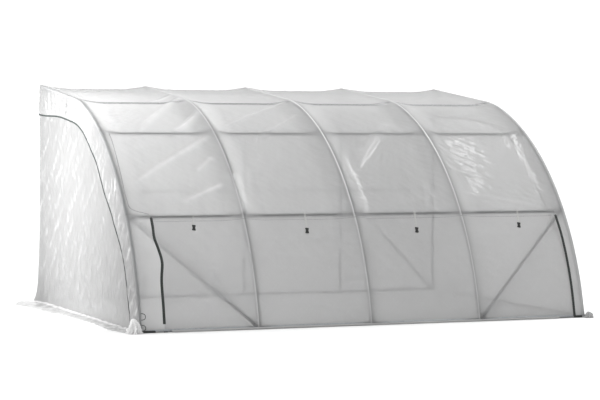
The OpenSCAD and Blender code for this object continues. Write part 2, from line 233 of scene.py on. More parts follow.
# Adds a node: own holds its settings, sockets its inputs, each a value or a link given as (node, output)
def put(tree, kind, own=None, sockets=None):
    made = tree.nodes.new(kind)
    for name, value in (own or {}).items():
        setattr(made, name, value)
    for name, value in (sockets or {}).items():
        if isinstance(value, tuple) and isinstance(value[0], bpy.types.Node):
            tree.links.new(value[0].outputs[value[1]], made.inputs[name])
        else:
            made.inputs[name].default_value = value
    return made


def newMaterial(name):
    made = bpy.data.materials.new(name)
    made.use_nodes = True
    made.node_tree.nodes.clear()
    return made, made.node_tree


# Bright soft light behind and to the left, dimmer in front; lamps at both ends, and a long lamp overhead
# for the glints on the roof
studio = {
    "sky": "#ffffff", "skyFront": 0.82, "skyBack": 2.12,
    "brightWay": (-0.4, 0.9, 0.0), "fade": (-0.8, 0.5),  # the brightest way, and where its light comes in
    "skyLow": 0.25, "rise": (0.15, 0.45),  # share of it near the ground, and the heights where it grows
    "floor": "#e3e3e3", "floorSize": 90.0, "floorDown": 0.0005,
    "left": {"place": (-5.6, 0.7, 1.25), "aim": (-2.0, 0.35, 1.5), "size": (1.3, 1.2),
             "spread": 62.0, "power": 172.0, "glints": False},
    "right": {"place": (5.2, 0.0, 1.8), "aim": (2.0, -0.4, 0.8), "size": (1.8, 1.8),
              "spread": 90.0, "power": 46.0, "glints": False},
    "spark": {"place": (3.0, -0.6, 5.0), "aim": (2.6, -0.7, 1.2), "size": (0.35, 2.3),
              "spread": 180.0, "power": 30.0, "glints": True},
}


def makeStudio():
    world = bpy.data.worlds.new("studio")
    bpy.context.scene.world = world
    world.use_nodes = True
    tree = world.node_tree
    tree.nodes.clear()
    coords = put(tree, "ShaderNodeTexCoord")
    toward = put(tree, "ShaderNodeVectorMath", {"operation": "DOT_PRODUCT"},
                 {0: (coords, "Generated"), 1: studio["brightWay"]})
    fade = put(tree, "ShaderNodeMapRange", {"interpolation_type": "SMOOTHSTEP"},
               {"Value": (toward, "Value"), "From Min": studio["fade"][0], "From Max": studio["fade"][1],
                "To Min": 0.0, "To Max": studio["skyBack"] - studio["skyFront"]})
    parts = put(tree, "ShaderNodeSeparateXYZ", None, {"Vector": (coords, "Generated")})
    rise = put(tree, "ShaderNodeMapRange", {"interpolation_type": "SMOOTHSTEP"},
               {"Value": (parts, "Z"), "From Min": studio["rise"][0], "From Max": studio["rise"][1],
                "To Min": studio["skyLow"], "To Max": 1.0})
    strength = put(tree, "ShaderNodeMath", {"operation": "MULTIPLY_ADD"},
                   {0: (fade, "Result"), 1: (rise, "Result"), 2: studio["skyFront"]})
    light = put(tree, "ShaderNodeBackground", None,
                {"Color": colour(studio["sky"]), "Strength": (strength, "Value")})
    put(tree, "ShaderNodeOutputWorld", None, {"Surface": (light, "Background")})
    for name in ("left", "right", "spark"):
        made = studio[name]
        lamp = bpy.data.objects.new(name + "Light", bpy.data.lights.new(name + "Light", "AREA"))
        lamp.data.shape, lamp.data.energy = "RECTANGLE", made["power"]
        lamp.data.spread = np.radians(made["spread"])
        lamp.data.size, lamp.data.size_y = made["size"]
        lamp.visible_glossy = made["glints"]
        aim = np.array(made["aim"]) - np.array(made["place"])
        aim = aim / np.linalg.norm(aim)
        square = (0.0, 1.0, 0.0) if name == "spark" else (0.0, 0.0, 1.0)  # the overhead lamp looks down
        side = np.cross(aim, square)
        side = side / np.linalg.norm(side)
        lamp.matrix_world = facing(made["place"], side, np.cross(side, aim), aim)
        bpy.context.scene.collection.objects.link(lamp)
    bpy.context.scene.view_settings.view_transform = "Standard"


makeStudio()
print("studio lit")


# Painted studio floor: matt and pale, with a little roller texture 12 mm across
def floorPaint():
    made, tree = newMaterial("mattFloorPaint")
    coords = put(tree, "ShaderNodeTexCoord")
    grain = put(tree, "ShaderNodeTexNoise", None,
                {"Vector": (coords, "Object"), "Scale": 1 / 0.012, "Detail": 2.0})
    bump = put(tree, "ShaderNodeBump", None,
               {"Height": (grain, "Fac"), "Strength": 0.05, "Distance": 0.001})
    shader = put(tree, "ShaderNodeBsdfPrincipled", None,
                 {"Base Color": colour(studio["floor"]), "Roughness": 0.9, "Specular IOR Level": 0.1,
                  "Normal": (bump, "Normal")})
    put(tree, "ShaderNodeOutputMaterial", None, {"Surface": (shader, "BSDF")})
    return made


# Drawn polyethylene film, milky with a wet gloss: part of the light goes straight through, part is scattered
# forward, so tubes that touch it show sharp and far ones fade. Long faint streaks are where it was drawn and
# creased. White glossy film is mixed in as a painted highlight along the lit side of the rib crests, on folds
# and on the sharpest creases; film that clings to a tube lets it show.
# The looks are copies of one film, set lighter or darker to match how bright each part looks: partly real
# doubling, rolling and crumpling, partly painted light and shade; taut film is the greyer, loose film whiter.
# Each look has two greys, the colour of scattered light, the shares scattered and let through, and its bump.
filmLooks = {
    "taut": ("#717171", "#7d7d7d", "#dbdbdb", 0.55, 0.15, 0.2),
    "front": ("#707070", "#7c7c7c", "#d2d2d2", 0.54, 0.17, 0.2),
    "strip": ("#808080", "#8c8c8c", "#e6e6e6", 0.56, 0.15, 0.2),
    "end": ("#5f5f5f", "#6b6b6b", "#e0e0e0", 0.55, 0.09, 0.6),
    "doubled": ("#5d5d5d", "#696969", "#e0e0e0", 0.32, 0.05, 0.6),
    "loose": ("#cccccc", "#dadada", "#d0d0d0", 0.35, 0.08, 0.4),
    "bunched": ("#e4e4e4", "#f0f0f0", "#e0e0e0", 0.25, 0.03, 0.4),
    "rolled": ("#a0a0a0", "#b0b0b0", "#b0b0b0", 0.2, 0.02, 0.3),
}
filmGrain = {
    # the second colour is that of the painted highlight on crests, folds and creases
    "clear": "#ececec", "crest": "#dcdcdc", "ior": 1.51, "gloss": 0.10,
    "cling": 0.55,  # extra share let through where the film clings to a tube
    "crinkle": 0.03, "cloud": 0.4,
    "streak": (0.40, 0.014), "streakTurns": (0.75, 2.25),  # length and width, and the two ways they run
    "streakFrom": (0.30, 0.44), "streakHaze": 0.85,  # where a streak clouds it, and what stays clear
}


def filmMaterial(name, dark, light, scatter, scattered, through, rough):
    made, tree = newMaterial(name)
    coords = put(tree, "ShaderNodeTexCoord")
    cloud = put(tree, "ShaderNodeTexNoise", None,
                {"Vector": (coords, "UV"), "Scale": 1 / filmGrain["cloud"], "Detail": 3.0})
    crinkle = put(tree, "ShaderNodeTexNoise", {"noise_type": "RIDGED_MULTIFRACTAL"},
                  {"Vector": (coords, "UV"), "Scale": 1 / filmGrain["crinkle"], "Detail": 3.0})
    streaks = []
    for turn in filmGrain["streakTurns"]:
        turned = put(tree, "ShaderNodeMapping", {"vector_type": "TEXTURE"},
                     {"Vector": (coords, "UV"), "Rotation": (0.0, 0.0, turn),
                      "Scale": (*filmGrain["streak"], 1.0)})
        streaks.append(put(tree, "ShaderNodeTexNoise", None,
                           {"Vector": (turned, "Vector"), "Scale": 1.0, "Detail": 2.0}))
    streak = put(tree, "ShaderNodeMixRGB", {"blend_type": "MULTIPLY"},
                 {"Fac": 1.0, "Color1": (streaks[0], "Fac"), "Color2": (streaks[1], "Fac")})
    streakLine = put(tree, "ShaderNodeMapRange", None,
                     {"Value": (streak, "Color"), "From Min": filmGrain["streakFrom"][0],
                      "From Max": filmGrain["streakFrom"][1], "To Min": 0.0, "To Max": 1.0})
    tone = put(tree, "ShaderNodeMixRGB", None,
               {"Fac": (cloud, "Fac"), "Color1": colour(dark), "Color2": colour(light)})
    bumpFine = put(tree, "ShaderNodeBump", None,
                   {"Height": (crinkle, "Fac"), "Strength": rough, "Distance": 0.003})
    bumpStreak = put(tree, "ShaderNodeBump", None,
                     {"Height": (streak, "Color"), "Strength": 0.15, "Distance": 0.004,
                      "Normal": (bumpFine, "Normal")})
    skin = put(tree, "ShaderNodeBsdfPrincipled", None,
               {"Base Color": (tone, "Color"), "Roughness": filmGrain["gloss"], "IOR": filmGrain["ior"],
                "Normal": (bumpStreak, "Normal")})
    glow = put(tree, "ShaderNodeBsdfTranslucent", None,
               {"Color": colour(scatter), "Normal": (bumpStreak, "Normal")})
    body = put(tree, "ShaderNodeMixShader", None,
               {"Fac": scattered, 1: (skin, "BSDF"), 2: (glow, "BSDF")})
    clear = put(tree, "ShaderNodeBsdfTransparent", None, {"Color": colour(filmGrain["clear"])})
    haze = put(tree, "ShaderNodeMapRange", None,
               {"Value": (streakLine, "Result"), "To Min": through,
                "To Max": through * filmGrain["streakHaze"]})
    clinging = put(tree, "ShaderNodeAttribute", {"attribute_name": "cling"})
    seen = put(tree, "ShaderNodeMath", {"operation": "MULTIPLY_ADD"},
               {0: (clinging, "Fac"), 1: filmGrain["cling"], 2: (haze, "Result")})
    sheet = put(tree, "ShaderNodeMixShader", None,
                {"Fac": (seen, "Value"), 1: (body, "Shader"), 2: (clear, "BSDF")})
    # Painted highlight: white glossy film mixed in by the share that each piece carries
    crest = put(tree, "ShaderNodeAttribute", {"attribute_name": "crest"})
    highlightPaint = put(tree, "ShaderNodeBsdfPrincipled", None,
                {"Base Color": colour(filmGrain["crest"]), "Roughness": filmGrain["gloss"],
                 "IOR": filmGrain["ior"]})
    whole = put(tree, "ShaderNodeMixShader", None,
                {"Fac": (crest, "Fac"), 1: (sheet, "Shader"), 2: (highlightPaint, "BSDF")})
    put(tree, "ShaderNodeOutputMaterial", None, {"Surface": (whole, "Shader")})
    return made


# Hot-dip galvanised steel tube: dull silver with crystals a few millimetres wide that catch the light apart,
# and stains about 9 cm wide
def galvanised(name, light, dark, rough, crystal):
    made, tree = newMaterial(name)
    coords = put(tree, "ShaderNodeTexCoord")
    crystals = put(tree, "ShaderNodeTexVoronoi", None,
                   {"Vector": (coords, "Object"), "Scale": 1 / crystal})
    stain = put(tree, "ShaderNodeTexNoise", None,
                {"Vector": (coords, "Object"), "Scale": 1 / 0.09, "Detail": 4.0})
    blend = put(tree, "ShaderNodeMixRGB", {"blend_type": "MULTIPLY"},
                {"Fac": 0.6, "Color1": (stain, "Fac"), "Color2": (crystals, "Color")})
    tone = put(tree, "ShaderNodeMixRGB", None,
               {"Fac": (blend, "Color"), "Color1": colour(light), "Color2": colour(dark)})
    sheen = put(tree, "ShaderNodeMapRange", None,
                {"Value": (crystals, "Distance"), "To Min": rough - 0.08, "To Max": rough + 0.12})
    bump = put(tree, "ShaderNodeBump", None,
               {"Height": (stain, "Fac"), "Strength": 0.06, "Distance": 0.0006})
    shader = put(tree, "ShaderNodeBsdfPrincipled", None,
                 {"Base Color": (tone, "Color"), "Metallic": 1.0, "Roughness": (sheen, "Result"),
                  "Normal": (bump, "Normal")})
    put(tree, "ShaderNodeOutputMaterial", None, {"Surface": (shader, "BSDF")})
    return made


# Woven polyester tape: matt, with a fine rib across it; the weave is drawn at three times its real spacing,
# so that it shows
def wovenTape(name, light, dark, thread):
    made, tree = newMaterial(name)
    coords = put(tree, "ShaderNodeTexCoord")
    threads = [put(tree, "ShaderNodeTexWave", {"wave_type": "BANDS", "bands_direction": way},
                   {"Vector": (coords, "UV"), "Scale": 0.3 / thread, "Distortion": 0.4}) for way in "XY"]
    weave = put(tree, "ShaderNodeMixRGB", {"blend_type": "MULTIPLY"},
                {"Fac": 1.0, "Color1": (threads[0], "Fac"), "Color2": (threads[1], "Fac")})
    tone = put(tree, "ShaderNodeMixRGB", None,
               {"Fac": (weave, "Color"), "Color1": colour(dark), "Color2": colour(light)})
    bump = put(tree, "ShaderNodeBump", None,
               {"Height": (weave, "Color"), "Strength": 0.3, "Distance": 0.0005})
    shader = put(tree, "ShaderNodeBsdfPrincipled", None,
                 {"Base Color": (tone, "Color"), "Roughness": 0.75, "Sheen Weight": 0.2,
                  "Normal": (bump, "Normal")})
    put(tree, "ShaderNodeOutputMaterial", None, {"Surface": (shader, "BSDF")})
    return made


# Moulded plastic: black, half gloss, with a faint spark-eroded grain 1.2 mm across, coarser than real to show
def mouldedPlastic(name, code, rough):
    made, tree = newMaterial(name)
    coords = put(tree, "ShaderNodeTexCoord")
    grain = put(tree, "ShaderNodeTexNoise", None,
                {"Vector": (coords, "Object"), "Scale": 1 / 0.0012, "Detail": 2.0})
    bump = put(tree, "ShaderNodeBump", None,
               {"Height": (grain, "Fac"), "Strength": 0.15, "Distance": 0.0002})
    sheen = put(tree, "ShaderNodeMapRange", None,
                {"Value": (grain, "Fac"), "To Min": rough - 0.08, "To Max": rough + 0.08})
    shader = put(tree, "ShaderNodeBsdfPrincipled", None,
                 {"Base Color": colour(code), "Roughness": (sheen, "Result"), "Normal": (bump, "Normal")})
    put(tree, "ShaderNodeOutputMaterial", None, {"Surface": (shader, "BSDF")})
    return made


films = {look: filmMaterial(look + "PolyethyleneFilm", *tones) for look, tones in filmLooks.items()}
tubeSteel = galvanised("galvanisedTube", "#a4a7a9", "#777a7c", 0.4, 0.009)
fittingSteel = galvanised("galvanisedFitting", "#8f9294", "#66696b", 0.46, 0.006)
zipTape = wovenTape("wovenZipTape", "#1f2623", "#0f1312", 0.0012)
webbing = wovenTape("wovenWebbing", "#b0b0ae", "#989896", 0.0015)
darkWebbing = wovenTape("wovenDarkWebbing", "#2b2f2e", "#151817", 0.0015)
blackPlastic = mouldedPlastic("mouldedAcetal", "#090a0a", 0.55)
seamThread = wovenTape("sewnSeamThread", "#a6a6a6", "#848484", 0.0012)
elasticCord = wovenTape("braidedElasticCord", "#585b5a", "#3a3d3c", 0.0014)
coilPlastic = mouldedPlastic("nylonZipCoil", "#1a201e", 0.38)
print("materials made")


# Makes one mesh piece from grids of points, each (rows, columns, 3), with UVs in metres for each grid.
# A closed grid joins its last row or column to its first, and its open ends are capped.
def addPiece(name, grids, uvs, material, flip=False, closed="", capped=True):
    points, flats, quads, flatQuads, count, flatCount = [], [], [], [], 0, 0
    for grid, flat in zip(grids, uvs):
        rows, columns = grid.shape[:2]
        index = count + np.arange(rows * columns).reshape(rows, columns)
        if closed == "columns":
            index = np.concatenate([index, index[:, :1]], 1)
        if closed == "rows":
            index = np.concatenate([index, index[:1]], 0)
        if flat.shape[:2] != index.shape:
            flat = np.resize(flat, (*index.shape, 2))
        flatIndex = flatCount + np.arange(index.size).reshape(index.shape)
        for ids, faces in ((index, quads), (flatIndex, flatQuads)):
            quad = np.stack([ids[:-1, :-1], ids[:-1, 1:], ids[1:, 1:], ids[1:, :-1]], -1).reshape(-1, 4)
            faces.append(quad[:, ::-1] if flip else quad)
        points.append(grid.reshape(-1, 3))
        flats.append(flat.reshape(-1, 2))
        count += rows * columns
        flatCount += index.size
    points, flats = np.concatenate(points), np.concatenate(flats)
    quads, flatQuads = np.concatenate(quads), np.concatenate(flatQuads)
    mesh = bpy.data.meshes.new(name)
    mesh.vertices.add(len(points))
    mesh.vertices.foreach_set("co", points.astype(np.float32).ravel())
    mesh.loops.add(quads.size)
    mesh.loops.foreach_set("vertex_index", quads.astype(np.int32).ravel())
    mesh.polygons.add(len(quads))
    mesh.polygons.foreach_set("loop_start", np.arange(0, quads.size, 4, dtype=np.int32))
    mesh.update(calc_edges=True)
    layer = mesh.uv_layers.new(name="flat")
    layer.data.foreach_set("uv", flats[flatQuads.ravel()].astype(np.float32).ravel())
    if closed and capped:
        work = bmesh.new()
        work.from_mesh(mesh)
        bmesh.ops.holes_fill(work, edges=[edge for edge in work.edges if edge.is_boundary], sides=0)
        bmesh.ops.recalc_face_normals(work, faces=work.faces)
        work.to_mesh(mesh)
        work.free()
    mesh.polygons.foreach_set("use_smooth", np.ones(len(mesh.polygons), bool))
    mesh.materials.append(material)
    mesh.validate()
    piece = bpy.data.objects.new(name, mesh)
    bpy.context.scene.collection.objects.link(piece)
    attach(piece, "root")
    return piece


# Studio floor, far past the view on every side
def makeFloor():
    half = studio["floorSize"] / 2
    side = np.linspace(-half, half, 3)
    x, y = np.meshgrid(side, side, indexing="ij")
    mesh = bpy.data.meshes.new("floor")
    points = np.stack([x, y, np.full_like(x, -studio["floorDown"])], -1).reshape(-1, 3)
    quads = [(0, 3, 4, 1), (1, 4, 5, 2), (3, 6, 7, 4), (4, 7, 8, 5)]
    mesh.from_pydata(points.tolist(), [], quads)
    mesh.materials.append(floorPaint())
    floor = bpy.data.objects.new("floor", mesh)
    bpy.context.scene.collection.objects.link(floor)


makeFloor()

for name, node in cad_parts.items():
    steel = fittingSteel if name.endswith(("elbows", "sleeves", "tees", "clamps")) else tubeSteel
    for held in node.material_slots:
        held.material = steel
print("floor laid, frame painted")


# How the film hangs: it stands on the ribs and drops between them to the purlins, or past them where it spans
# free
hang = {
    "tentAt": (0.0, 1.18, 1.92, 2.93, 3.3, 3.93),  # arc lengths for the reach below
    "tentReach": (0.30, 0.26, 0.20, 0.20, 0.34, 0.40),  # from a rib to where the film is down
    "spanDrop": (0.006, 0.013, 0.016),  # extra drop midway: roof, shoulder, long bend
    "frontDrop": 0.014, "frontFrom": 0.3,  # front panel midway between ribs, reached this far down
    "grip": 0.02, "purlinHold": 0.85,  # reach of a tube's hold on the film, and the share that a purlin holds
    "closeColumns": (0.0, 0.002, 0.004, 0.007, 0.011, 0.016, 0.024, 0.034),  # from a rib
    "wrapColumns": 6,  # round an end rib
}
endWrap = np.linspace(0, np.pi / 2, hang["wrapColumns"] + 1)[1:]


def ribDistance(x):
    return np.abs(x[..., None] - ribPlaces).min(-1)


# Drop of the film below its line over the ribs: a quarter sine away from each rib, as deep as the purlins
# allow, with a shallow arch of extra drop between one purlin and the next
def filmDrop(x, s):
    reach = np.interp(s, hang["tentAt"], hang["tentReach"])
    tent = np.sin(np.pi / 2 * np.clip(ribDistance(x) / reach, 0, 1))
    depth = np.full(np.shape(s), filmOver - house["filmOnPurlin"])
    for start, stop, extra in zip(purlinStops[:-1], purlinStops[1:], hang["spanDrop"]):
        t = np.clip((s - start) / (stop - start), 0, 1)
        depth = depth + extra * 4 * t * (1 - t)
    below = smooth((s - eavesAt) / hang["frontFrom"])
    depth = depth * (1 - below) + hang["frontDrop"] * below
    return tent * depth


# Share of freedom of the film: nothing on a rib, little on a purlin, one in the open
def freedom(x, s):
    onRib = np.exp(-(ribDistance(x) / hang["grip"]) ** 2)
    onPurlin = np.exp(-(np.abs(s[..., None] - purlinStops).min(-1) / hang["grip"]) ** 2)
    return (1 - onRib) * (1 - hang["purlinHold"] * onPurlin)


# Columns of a film across the bays, close together over each rib
def filmColumns(start, stop, step):
    near = np.array(hang["closeColumns"])
    close = (ribPlaces[:, None] + np.concatenate([-near[:0:-1], near])).ravel()
    spaced = np.linspace(start, stop, int(round((stop - start) / step)) + 1)
    spaced = spaced[ribDistance(spaced) > near[-1] + 0.5 * step]
    both = np.concatenate([close, spaced, [start, stop]])
    return np.unique(np.round(both[(both >= start) & (both <= stop)], 5))


# Columns over the whole house and a quarter circle round both end ribs, with the turn of each
def wrappedColumns(step):
    inside = filmColumns(-halfLength, halfLength, step)
    past = np.full(len(endWrap), halfLength + 1e-9)  # a hair past the end rib, where nothing sags
    x = np.concatenate([-past, inside, past])
    return x, np.concatenate([-endWrap[::-1], np.zeros(len(inside)), endWrap])


# Painted highlight where the film is pulled over a rib: a narrow white bell on the side towards the light, as
# strong as given for each rib at five arc lengths. Folds get painted highlight too, in patches, by the share
# given for each.
paintedCrestHighlights = {
    "aside": -0.005, "width": 0.0052,
    "at": (0.0, 1.3, 2.1, 2.93, 3.92),
    "strength": ((0.1, 0.1, 0.0, 0.0, 0.0), (0.55, 0.75, 0.50, 0.55, 0.55), (0.65, 0.85, 0.95, 0.70, 0.45),
                 (0.45, 0.7, 0.95, 0.70, 0.45), (0.4, 0.4, 0.4, 0.4, 0.3)),
    "patchSpacing": 0.31, "patchMean": 0.9, "patchSwing": 0.8, "patchRange": (0.3, 1.2), "seed": 91,
}


def setShare(piece, name, share):
    made = piece.data.attributes.new(name, "FLOAT", "POINT")
    made.data.foreach_set("value", np.clip(share, 0, 1).astype(np.float32).ravel())


def setPaintedHighlight(piece, x, s, folds=()):
    rough = crushed(x, s, paintedCrestHighlights["patchSpacing"], 3, paintedCrestHighlights["seed"])
    patchy = np.clip(paintedCrestHighlights["patchMean"] + paintedCrestHighlights["patchSwing"] * rough, *paintedCrestHighlights["patchRange"])
    crest = folded(x, s, folds) * freedom(x, s) * patchy
    for place, strength in zip(ribPlaces, paintedCrestHighlights["strength"]):
        bell = np.exp(-((x - place - paintedCrestHighlights["aside"]) / paintedCrestHighlights["width"]) ** 2)
        crest = crest + bell * np.interp(s, paintedCrestHighlights["at"], strength)
    setShare(piece, "crest", crest)


# The roof film clings to the front of the upper purlin between the ribs: a bell curve along the slope
cling = {"aside": 0.025, "width": 0.030, "clear": 0.10}


def setCling(piece, x, s):
    bell = np.exp(-((s - upperAt - cling["aside"]) / cling["width"]) ** 2)
    setShare(piece, "cling", bell * smooth(ribDistance(x) / cling["clear"]))


# Roof cover: one sheet from the back corner over the shoulder to the eaves, turned down round both end ribs
roof = {
    "step": 0.0122, "rowStep": 0.0120, "rollRows": 8,
    "crush": 0.0024, "crushSpacing": 0.16, "seed": 7,
    "pull": 0.30,  # how far along the roof the sag at the back corner draws the film forward
    "foldEnd": 0.02,  # folds die out this far above the eaves
    # strength of the painted highlight on the folds
    "foldHighlight": 0.9,
    # start x and s, end x and s, height, width, share of painted highlight
    "folds": (
        (-1.03, 1.96, -1.95, 2.635, 0.009, 0.026, 0.30),
        (-1.085, 2.59, -1.52, 2.805, 0.009, 0.024, 0.32),
        (-0.92, 0.90, -1.77, 2.03, 0.011, 0.034, 0.26),
        (-0.955, 0.73, -1.375, 1.18, 0.009, 0.026, 0.18),
        (-1.07, 1.63, -1.375, 1.945, 0.009, 0.026, 0.30),
        (-1.10, 2.265, -1.32, 2.46, 0.007, 0.022, 0.26),
        (-0.91, 1.43, -1.315, 1.93, 0.009, 0.030, 0.26),
        (0.075, 1.09, -1.005, 1.915, 0.008, 0.026, 0.12),
        (-0.075, 1.545, -0.665, 2.055, 0.009, 0.028, 0.12),
        (0.77, 1.695, 0.115, 2.40, 0.010, 0.050, 0.10),
        (0.53, 1.975, 0.135, 2.485, 0.008, 0.030, 0.08),
        (1.0, 2.405, 1.495, 2.59, 0.006, 0.025, 0.08),
        (1.065, 2.70, 1.795, 2.88, 0.006, 0.025, 0.08),
        (1.015, 2.13, 1.29, 2.34, 0.005, 0.025, 0.08),
        (1.725, 1.94, 1.935, 1.90, 0.006, 0.020, 0.08),
        (1.81, 1.935, 1.785, 2.175, 0.006, 0.022, 0.10),
    ),
    "patchSpacing": 0.065, "patchSeed": 60, "patchSpread": 0.9,
    # middle x and s, half sizes, height of the creases, the way they lean
    "patches": (
        (1.20, 2.30, 0.24, 0.30, 0.0070, 2.15),
        (1.55, 2.72, 0.34, 0.12, 0.0070, 2.05),
        (1.80, 2.00, 0.11, 0.14, 0.0050, 0.90),
        (0.42, 2.10, 0.22, 0.34, 0.0035, 0.75),
        (0.16, 2.62, 0.16, 0.20, 0.0050, 2.00),
        (-1.72, 1.60, 0.25, 0.30, 0.0060, 1.10),
    ),
}
rollLength = filmOver * (roofTilt + np.pi / 2)


# Crushing of the roof film: low all over, and higher in round patches
def crushOf(x, s):
    total = roof["crush"] * crushed(x, s, roof["crushSpacing"], 4, roof["seed"])
    for index, (px, ps, sx, ss, height, lean) in enumerate(roof["patches"]):
        seed = roof["patchSeed"] + index
        wrinkles = crushed(x, s, roof["patchSpacing"], 3, seed, lean, roof["patchSpread"])
        total = total + height * patch(x, s, (px, ps), (sx, ss)) * wrinkles
    return total


# Outward place of the film on its rib line
def filmOut(x, s):
    folds = folded(x, s, [fold[:6] for fold in roof["folds"]])
    lift = folds * smooth((eavesAt - s) / roof["foldEnd"]) + crushOf(x, s)
    return filmOver - filmDrop(x, s) + freedom(x, s) * lift


# Point of the cover at x along the house and s down the rib line; behind the back corner, where s is below
# nothing, the film rolls over the corner and the whole roll sinks with the sag there
def coverPoint(x, s, turn):
    aboveS = np.maximum(s, 0)
    out = np.where(np.abs(x) < halfLength, filmOut(x, aboveS), filmOver)
    plane = ribPoint(aboveS, out * np.cos(turn))
    sagAtBack = filmDrop(x, np.zeros(np.shape(s)))
    roll = roofTilt + np.minimum(s, 0) / filmOver
    overCorner = backCorner + filmOver * outwardOf(roll) * np.cos(turn)[..., None]
    overCorner = overCorner - sagAtBack[..., None] * outwardOf(roofTilt)
    plane = np.where((s < 0)[..., None], overCorner, plane)
    drawn = sagAtBack * (1 - smooth(aboveS / roof["pull"]))
    along = np.sign(x) * np.minimum(np.abs(x), halfLength) + filmOver * np.sin(turn)
    return np.stack([along, plane[..., 0] - drawn, plane[..., 1]], -1)


def makeRoof():
    x, turn = wrappedColumns(roof["step"])
    rollRows = np.linspace(-rollLength, 0, roof["rollRows"] + 1)[:-1]
    s = np.concatenate([rollRows, np.linspace(0, eavesAt, int(eavesAt / roof["rowStep"]) + 1)])
    x, s = np.meshgrid(x, s, indexing="ij")
    turn = np.broadcast_to(turn[:, None], x.shape)
    flat = np.stack([x + filmOver * turn, s], -1)
    piece = addPiece("roofFilm", [coverPoint(x, s, turn)], [flat], films["taut"], flip=True)
    setPaintedHighlight(piece, x, s, [(*fold[:4], roof["foldHighlight"] * fold[6], fold[5]) for fold in roof["folds"]])
    setCling(piece, x, s)
    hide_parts("roof_film")
    return piece


roofFilm = makeRoof()
print("roof film:", len(roofFilm.data.polygons), "faces")


# Front: a roll-up panel between two zips and a narrow strip at each end, from the eaves to the ground
front = {
    "step": 0.0125, "rowStep": 0.0105,
    "stripColumns": {-1: 22, 1: 14},
    "crush": 0.0016, "crushSpacing": 0.14, "seed": 11,
    "sway": 0.0048,  # slow bulges of the loose panel
    "swayWaves": (2.2, 1.3, 4.0), "swayHold": 0.2,  # along it, bend and down it; reach of a rib's hold
    "looseFrom": 0.25,  # from the eaves or the ground to where the panel is loose
    "clear": 0.0006,  # lowest edge over the ground
    "zipStart": {-1: 0.009, 1: 0.007},  # sideways at the eaves
    "zipLean": {-1: -0.012, 1: -0.005},  # further sideways by the ground
    "zipKink": 0.026,  # sideways jog of the left zip, under the crossing brace
    "zipJogs": ((0.42, 0.12, 1.0), (0.20, 0.07, -0.35)),  # share of its height, reach, strength
}


# Each zip leans in a straight line; the left one has a jog, a bell curve with a smaller one against it
def zipPlace(s, side):
    t = (s - eavesAt) / (floorAt - eavesAt)
    x = front["zipStart"][side] + front["zipLean"][side] * t
    if side > 0:
        return house["zipRight"] + x
    jog = sum(share * np.exp(-((t - at) / reach) ** 2) for at, reach, share in front["zipJogs"])
    return house["zipLeft"] + x + front["zipKink"] * jog


# Outward place of the front film on the rib line: hung between the ribs, with slow bulges and crushing
def frontOut(x, s):
    edge = front["looseFrom"]
    loose = smooth((s - eavesAt) / edge) * (1 - smooth((s - floorAt + edge) / edge))
    along, bend, down = front["swayWaves"]
    wave = np.sin(along * np.pi * x + bend * np.sin(down * s))
    bulge = front["sway"] * loose * wave * (1 - np.exp(-ribDistance(x) / front["swayHold"]))
    lift = front["crush"] * crushed(x, s, front["crushSpacing"], 4, front["seed"]) + bulge
    return filmOver - filmDrop(x, s) + freedom(x, s) * lift


# A front sheet between two upright lines; share runs from one to the other and turn rolls it round an end rib
def frontSheet(name, share, turn, lines, look, node):
    s = np.linspace(eavesAt, floorAt, int((floorAt - eavesAt) / front["rowStep"]) + 1)
    share, s = np.meshgrid(share, s, indexing="ij")
    turn = np.broadcast_to(turn[:, None], share.shape)
    left, right = lines(s)
    x = left + (right - left) * share
    plane = ribPoint(s, frontOut(x, s) * np.cos(turn))
    height = np.maximum(plane[..., 1], front["clear"])
    points = np.stack([x + filmOver * np.sin(turn), plane[..., 0], height], -1)
    flat = np.stack([x + filmOver * turn, s], -1)
    piece = addPiece(name, [points], [flat], films[look], flip=True)
    setPaintedHighlight(piece, x, s)
    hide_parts(node)
    return piece


def panelLines(s):
    return zipPlace(s, -1), zipPlace(s, 1)


def leftStripLines(s):
    return np.full(s.shape, -halfLength), zipPlace(s, -1)


def rightStripLines(s):
    return zipPlace(s, 1), np.full(s.shape, halfLength)


panelShare = filmColumns(house["zipLeft"], house["zipRight"], front["step"])
panelShare = (panelShare - panelShare[0]) / (panelShare[-1] - panelShare[0])
frontPanel = frontSheet("frontPanel", panelShare, 0 * panelShare, panelLines, "front", "front_panel")
across = np.linspace(0, 1, front["stripColumns"][-1])
share, turn = np.concatenate([0 * endWrap, across]), np.concatenate([-endWrap[::-1], 0 * across])
leftStrip = frontSheet("frontStripLeft", share, turn, leftStripLines, "strip", "front_strip_left")
across = np.linspace(0, 1, front["stripColumns"][1])
share, turn = np.concatenate([across, 1 + 0 * endWrap]), np.concatenate([0 * across, endWrap])
rightStrip = frontSheet("frontStripRight", share, turn, rightStripLines, "strip", "front_strip_right")
print("front panel and strips hung")


# The film flares out at the foot of the two back corners: slowly from knee height, then fast into the skirt
flare = {
    "slow": 0.018, "slowFrom": 0.8,
    "fast": 0.050, "fastFrom": 0.07,
    "endReach": 0.25, "backReach": 0.2,  # from the corner along the end and along the back
}


def footFlare(z):
    slow = flare["slow"] * (1 - smooth(z / flare["slowFrom"]))
    return slow + flare["fast"] * np.exp(-z / flare["fastFrom"])


def cornerFlare(y, z):
    return footFlare(z) * (1 - smooth((postY - y) / flare["endReach"]))


# Back film: hangs from the rolled back corner, drawn in between the posts at the top and freer below
back = {
    "step": 0.02, "rowStep": 0.016,
    "drop": 0.013, "tentReach": 0.35,  # drawn in between the posts, and from a post to where it is in
    "crush": 0.002, "crushSpacing": 0.22, "grip": 0.03, "seed": 23,
    "settle": 0.3,  # share of the height over which the sag of the corner dies away
}


